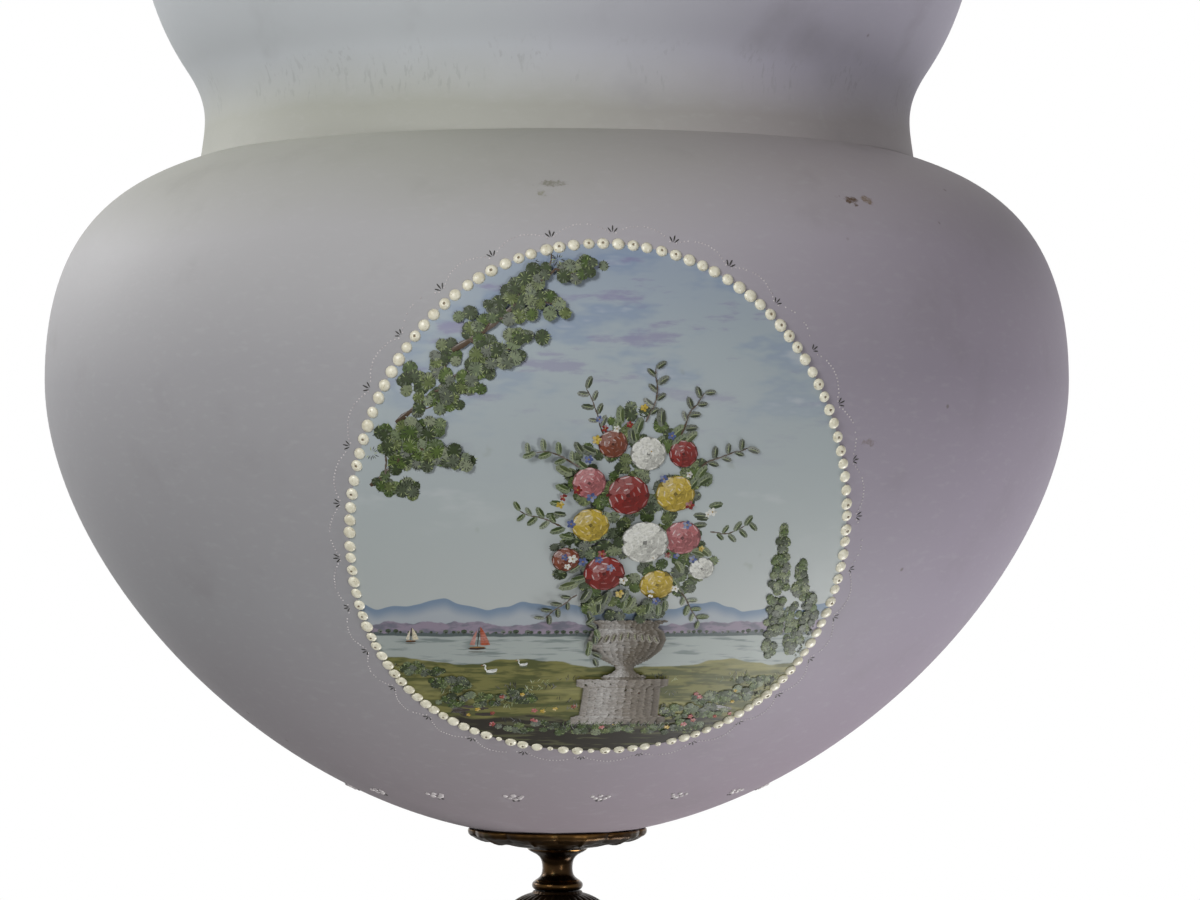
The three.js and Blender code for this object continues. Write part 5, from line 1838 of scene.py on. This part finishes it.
class LAMP_OT_crown(Step, bpy.types.Operator):
    """Cast the crown and hang it by its eye"""

    bl_idname = "lamp.crown"
    bl_label = "Crown"

    def build(self, scene):
        self.add_plate()
        self.add_swivel()
        self.add_drop()
        for k, letter in enumerate(LETTERS):
            self.add_eye(letter, of_three(k))

    def add_plate(self):
        low, top = levels("crown_plate")
        shelf = top - 12
        hub = [(3.6, 0), (10, 0), (10.4, -1.2), (9.6, -2.4)]
        upper = [(9.4, 5.6), (10.4, 3.6), (14, 2), (22, 0.9), (39.4, 0), (50.2, 0), (53, -0.7)]
        upper += [(54.6, -1.7), (55, -3), (54.5, -4.8), (53.4, -5.8), (50.2, -5), (38.8, -5)]
        under = [(24, 3.4), (17, 2.4), (12, 1.0), (11, 0), (3.6, 0)]

        def lobes(turn, radius, z):
            radius -= 1.7 * share_of(radius, 44, 55) ** 2 * (1 - abs(sin(turn * 4)))
            if 14 < radius < 42 and z > shelf - 1:
                z += 0.5 * cos(turn * 24) * sin(pi * (radius - 14) / 28)
            return radius, z

        section = moved(hub, top) + moved(upper, shelf) + moved(under, low)
        brass_piece(reshaped(turned(section, 288, 0.7), lobes), "crown", "crown", "crown_plate", bulge=1.6)

    def add_swivel(self):
        low, high = levels("crown_swivel_eye")
        top = levels("crown_plate")[1]
        collar = turned(moved([(0, 0.3), (5.7, 0.3), (5.4, 1.6), (4.4, 3.6), (0, 3.6)], top), 48, 0.4)
        stem = turned([(0, low), (3.2, low), (3.2, top + 1), (0, top + 1)], 32, 0.3)
        eye = placed(hoop(10, 2.8, 56, 18), shifted(0, 0, high - 12.8))
        brass_piece(together(eye, collar, stem), "crown_swivel", "crown", "crown_swivel_eye", bulge=1.8)

    def add_drop(self):
        low, high = levels("crown_drop_nut")
        drop = [
            (0, 0), (7.5, 0), (8.5, -1.9), (8.2, -3.0), (5.6, -5.2), (5.0, -6.8), (6.6, -9), (7.9, -11.6),
            (7.7, -13.6), (6.2, -16.2), (3.4, -18.6), (2.4, -19.6), (2.9, -20.6), (2.0, -21.7),
            (0, low - high),
        ]
        bm = turned(moved(drop, high), 72, 0.8)
        brass_piece(bm, "crown_drop", "crown", "crown_drop_nut", bulge=1.5)

    def add_eye(self, letter, turn):
        node = "crown_eye_" + letter
        low, high = levels(node)
        middle = low + SMALL_EYE + SMALL_EYE_WIRE
        loop = placed(hoop(SMALL_EYE, SMALL_EYE_WIRE, 40, 14), shifted(0, 0, middle) @ rotated(QUARTER))
        foot = turned(moved([(0, 14), (3.6, 14), (3.6, 16.2), (0, 16.2)], low), 32, 0.5)
        peen = [(0, -2.6), (2.2, -2.6), (2.2, -1.8), (3.6, -1.8), (3.3, -1.0), (2.0, -0.3), (0, 0)]
        bm = together(loop, foot, turned(moved(peen, high), 32, 0.3))
        placed(bm, outwards(turn, CROWN_EYES))
        brass_piece(bm, "crown_loop_" + letter, "crown", node)


class LAMP_OT_ceiling(Step, bpy.types.Operator):
    """Hang the ring from the ceiling hook, under its canopy"""

    bl_idname = "lamp.ceiling"
    bl_label = "Ceiling fitting"

    def build(self, scene):
        ring = placed(hoop(17, 3, 72, 18), rotated(QUARTER))
        placed(ring, Matrix.Translation(centre("suspension_ring")))
        brass_piece(ring, "hanging_ring", "ring", "suspension_ring", bulge=1.9)
        hook = Wire(3.2, 0, -5.6, -90, 20).run(54).bend(6, 69.95, 8).bend(11.5, -284.95, 34)
        brass_piece(hook.rounded_off(), "hook_on_ceiling", "ceiling", "ceiling_hook", bulge=1.9)
        self.add_canopy()
        self.add_collar()
        self.add_plate()

    def add_canopy(self):
        low, high = levels("canopy")
        edge = moved([(53.4, 0), (53.5, -1.0), (53.2, -2.0), (52.4, -2.6), (52.6, -3.2)], high)
        side = bezier((52, high - 4), (50, high - 23.9), (21.8, high - 23), (13, low + 1.8), 36)
        neck = moved([(12.2, 0.6), (11.2, 0), (CEILING_BORE, 0), (CEILING_BORE, 1.8)], low)
        inside = [(max(r - 1.9, 9), z - 0.9) for r, z in side[::-3]] + [(50.2, high)]
        bm = turned(eased(edge + side + neck + inside, 0.3, 2), 144)
        brass_piece(bm, "canopy_bell", "ceiling", "canopy", bulge=2.0)

    def add_collar(self):
        low, high = levels("canopy_nut")
        nut = [(CEILING_BORE, high), (7.4, high)] + arc(6.5, high - 2.4, 2.5, 68, -68, 8)
        nut += [(6.2, high - 5.3), (5.6, low + 1.4), (4.8, low), (CEILING_BORE, low)]
        brass_piece(turned(nut, 72, 0.3), "canopy_collar", "ceiling", "canopy_nut", bulge=1.6)

    def add_plate(self):
        """The ceiling plate: a disc with three screw holes, on a turned boss."""
        thickness, hole_circle, hole = 3.2, 17, 2.3
        bm = bmesh.new()
        bmesh.ops.create_circle(bm, radius=24, segments=96)
        for k in range(3):
            a = of_three(k, 30)
            matrix = shifted(hole_circle * cos(a), hole_circle * sin(a), 0)
            bmesh.ops.create_circle(bm, radius=hole, segments=24, matrix=matrix)
        bmesh.ops.triangle_fill(bm, edges=bm.edges[:], use_beauty=True)
        made = bmesh.ops.extrude_face_region(bm, geom=bm.faces[:])["geom"]
        bmesh.ops.translate(bm, verts=only(BMVert, made), vec=(0, 0, -thickness))
        boss = [(CEILING_BORE, -3.0), (8.8, -3.0), (8.2, -4.2), (8, -11.4), (7.4, -12.2)]
        boss += [(CEILING_BORE, -12.2)]
        bm = together(closed_up(bm), turned(boss, 48, 0.4))
        brass_piece(bm, "plate_on_ceiling", "ceiling", "ceiling_plate")


# Studio lights: name, turn from the front and rise in degrees, size in metres, setting of the power

LIGHTS = (
    ("key_light", -38, 20, 0.9, "key"),
    ("low_light", 108, -56, 1.2, "low"),
    ("back_light", -120, 20, 1.0, "back"),
    ("spark_light", 30, -15, 0.3, "spark"),
)
LIGHT_TARGET = Vector((0, 0, -0.62))
LIGHT_DISTANCE = 2.4
FLOOR_RADIUS = 6
FLOOR_GLOW = 0.72
CAMERA_RISE = 0.10674
SENSOR_WIDTH = 36


class LAMP_OT_stage(Step, bpy.types.Operator):
    """Set the floor, the studio lights and the camera"""

    bl_idname = "lamp.stage"
    bl_label = "Stage"

    def build(self, scene):
        studio = scene.lamp_studio
        scene.view_settings.view_transform = "Standard"
        self.add_floor(studio)
        self.set_world(studio)
        for name, turn, rise, size, power in LIGHTS:
            self.add_light(name, radians(turn), radians(rise), size, getattr(studio, power))
        self.add_camera(studio)

    def add_light(self, name, turn, rise, size, power):
        """A round lamp aimed at the bowl."""
        flat = cos(rise)
        out = Vector((flat * sin(turn), -flat * cos(turn), sin(rise)))
        lamp = bpy.data.lights.new(name, "AREA")
        lamp.shape = "DISK"
        lamp.size = size
        lamp.energy = power
        made = linked(name, lamp)
        made.location = LIGHT_TARGET + LIGHT_DISTANCE * out
        made.rotation_euler = (-out).to_track_quat("-Z", "Y").to_euler()

    def add_floor(self, studio):
        """A floor that shadows fall on. Seen by the camera it also glows, and from below it is clear."""
        bm = bmesh.new()
        level = shifted(0, 0, studio.floor)
        bmesh.ops.create_circle(bm, cap_ends=True, radius=FLOOR_RADIUS, segments=96, matrix=level)
        made = Finish("floor", Roughness=0.9, Specular_IOR_Level=0.1)
        made.surface(made.mixed(made.noise(900, 2.0) * 0.3, srgb(240, 240, 239), srgb(233, 233, 232)))
        shader = made.shader.outputs[0]
        seen = made.amount("LightPath", {}, {}, "Is Camera Ray")
        glow = made.node("Emission", {}, {"Color": srgb(250, 250, 250), "Strength": FLOOR_GLOW})
        shadowed = made.node("AddShader", {}, {0: shader, 1: glow})
        below = made.amount("NewGeometry", {}, {}, "Backfacing")
        clear = made.node("BsdfTransparent", {}, {})
        top = made.node("MixShader", {}, {0: seen, 1: shader, 2: shadowed})
        whole = made.node("MixShader", {}, {0: below, 1: top, 2: clear})
        made.feed(made.tree.nodes["Material Output"], {"Surface": whole})
        ground = linked("floor", mesh_of(bm, "floor"))
        ground.data.materials.append(made.material)

    def set_world(self, studio):
        """A white room to the camera, in mirrors and through glass, and dimmer as a light."""
        world = bpy.data.worlds.new("studio")
        bpy.context.scene.world = world
        world.use_nodes = True
        made = Nodes(world.node_tree)
        camera, glossy, through = (
            made.amount("LightPath", {}, {}, "Is %s Ray" % kind)
            for kind in ("Camera", "Glossy", "Transmission")
        )
        values = {"Value": camera.most(glossy).most(through), "To Min": studio.ambient, "To Max": 1.0}
        strength = made.node("MapRange", {}, values)
        made.feed(made.tree.nodes["Background"], {"Color": (1, 1, 1, 1), "Strength": strength})

    def add_camera(self, studio):
        data = bpy.data.cameras.new("camera")
        data.lens = studio.lens
        data.sensor_width = SENSOR_WIDTH
        data.sensor_fit = "HORIZONTAL"
        made = linked("camera", data)
        made.location = (0, -studio.distance, BOWL_BOTTOM * MM + CAMERA_RISE)
        yaw, pitch = studio.yaw, studio.pitch
        way = Vector((sin(yaw) * cos(pitch), cos(yaw) * cos(pitch), sin(pitch)))
        made.rotation_euler = way.to_track_quat("-Z", "Y").to_euler()
        bpy.context.scene.camera = made


# Sizes and colours that a user may change


def settings_of(kind, **look):
    """A maker of settings of one kind."""

    def setting(name, description, default, **limits):
        return kind(name=name, description=description, default=default, **look, **limits)

    return setting


length_of = settings_of(FloatProperty, unit="LENGTH", precision=4)
angle_of = settings_of(FloatProperty, subtype="ANGLE")
power_of = settings_of(FloatProperty, unit="POWER")
factor_of = settings_of(FloatProperty, subtype="FACTOR", max=1)
lens_of = settings_of(FloatProperty, unit="CAMERA")
count_of = settings_of(IntProperty)
tint_of = settings_of(FloatVectorProperty, subtype="COLOR", min=0, max=1)


def colour_of(name, description, *levels):
    return tint_of(name, description, srgb(*levels)[:3])


class LampGlass(bpy.types.PropertyGroup):
    wall: length_of("Wall", "Thickness of the glass", 0.004)
    low: colour_of("Low", "Colour of the glass at the bottom", 142, 133, 138)
    body: colour_of("Body", "Colour of the glass where the bowl is widest", 154, 153, 156)
    shoulder: colour_of("Shoulder", "Colour of the glass on the shoulder", 171, 170, 171)
    crease: colour_of("Crease", "Colour of the glass in the crease", 168, 168, 161)
    waist: colour_of("Waist", "Colour of the glass just over the crease", 163, 164, 155)
    collar: colour_of("Collar", "Colour of the glass high on the collar", 192, 196, 199)
    blush: colour_of("Blush", "Tint of the glass on the right", 250, 238, 255)


class LampPicture(bpy.types.PropertyGroup):
    half_width: length_of("Half width", "From the oval's middle to the pearls at its side", 0.0813)
    half_height: length_of("Half height", "From the oval's middle to the pearls at its top", 0.0933)
    rise: length_of("Rise", "From the bowl's lowest point up its side to the oval's middle", 0.202)
    tilt: angle_of("Tilt", "Lean of the oval", 0.08)
    turn: angle_of("Turn", "From the front to the oval's middle", 0.0916)
    pearls: count_of("Pearls", "Number of pearls round the oval", 122, min=8)
    pearl_size: length_of("Pearl size", "Diameter of a pearl", 0.0039)
    pearl: colour_of("Pearl", "Colour of the pearls", 228, 224, 204)
    scallops: count_of("Scallops", "Number of dotted scallops", 30, min=4)
    dots: count_of("Dots", "Number of dots on a scallop", 17, min=3)
    motifs: count_of("Motifs", "Number of motifs low on the bowl", 16, min=3)
    seed: count_of("Seed", "Start of the hand-painted chances", 7, min=0)


class LampMetal(bpy.types.PropertyGroup):
    patina: colour_of("Patina", "Colour of the aged brass", 44, 31, 18)
    worn: colour_of("Worn", "Colour of the brass where it is rubbed", 150, 110, 54)
    leaves: count_of("Leaves", "Number of leaves on the plate", 10, min=3)
    flutes: count_of("Flutes", "Number of flutes on the finial's ball", 32, min=6)
    chain_wire: length_of("Chain wire", "Diameter of the wire of the links", 0.0034)
    link_width: length_of("Link width", "Width of a link over its wires", 0.0142)


class LampStudio(bpy.types.PropertyGroup):
    key: power_of("Key", "Power of the key light", 35.5)
    low: power_of("Low", "Power of the low light on the right", 37)
    back: power_of("Back", "Power of the light behind on the left", 24)
    spark: power_of("Spark", "Power of the small light in front", 13)
    ambient: factor_of("Ambient", "Strength of the light all round", 0.12)
    floor: length_of("Floor", "Level of the floor", -2.9)
    distance: length_of("Distance", "From the lamp's axis to the camera", 1.358)
    lens: lens_of("Lens", "Focal length in millimetres", 116.4)
    yaw: angle_of("Yaw", "The camera's turn to the right", 0.010954)
    pitch: angle_of("Pitch", "The camera's tilt upwards", 0.020612)


OPERATORS = (
    LAMP_OT_bowl,
    LAMP_OT_pictures,
    LAMP_OT_pearls,
    LAMP_OT_festoons,
    LAMP_OT_leaf_plate,
    LAMP_OT_finial,
    LAMP_OT_rod,
    LAMP_OT_lampholder,
    LAMP_OT_bulb,
    LAMP_OT_gallery,
    LAMP_OT_chains,
    LAMP_OT_crown,
    LAMP_OT_ceiling,
    LAMP_OT_stage,
)
GROUPS = {
    "lamp_glass": LampGlass,
    "lamp_picture": LampPicture,
    "lamp_metal": LampMetal,
    "lamp_studio": LampStudio,
}


class LAMP_PT_sidebar(bpy.types.Panel):
    """Lists the lamp's sizes and the steps that build it"""

    bl_idname = "LAMP_PT_sidebar"
    bl_label = "Opaline hanging lamp"
    bl_space_type = "VIEW_3D"
    bl_region_type = "UI"
    bl_category = "Lamp"

    def draw(self, context):
        for name, group in GROUPS.items():
            box = self.layout.box()
            settings = getattr(context.scene, name)
            for prop in group.__annotations__:
                box.prop(settings, prop)
        for operator in OPERATORS:
            self.layout.operator(operator.bl_idname)


def register():
    for cls in (*GROUPS.values(), *OPERATORS, LAMP_PT_sidebar):
        bpy.utils.register_class(cls)
    for name, group in GROUPS.items():
        setattr(bpy.types.Scene, name, PointerProperty(type=group))


def unregister():
    for name in GROUPS:
        delattr(bpy.types.Scene, name)
    for cls in reversed((*GROUPS.values(), *OPERATORS, LAMP_PT_sidebar)):
        bpy.utils.unregister_class(cls)


def main():
    register()
    for operator in OPERATORS:
        getattr(bpy.ops.lamp, operator.bl_idname.split(".")[1])()


if __name__ == "__main__":
    main()
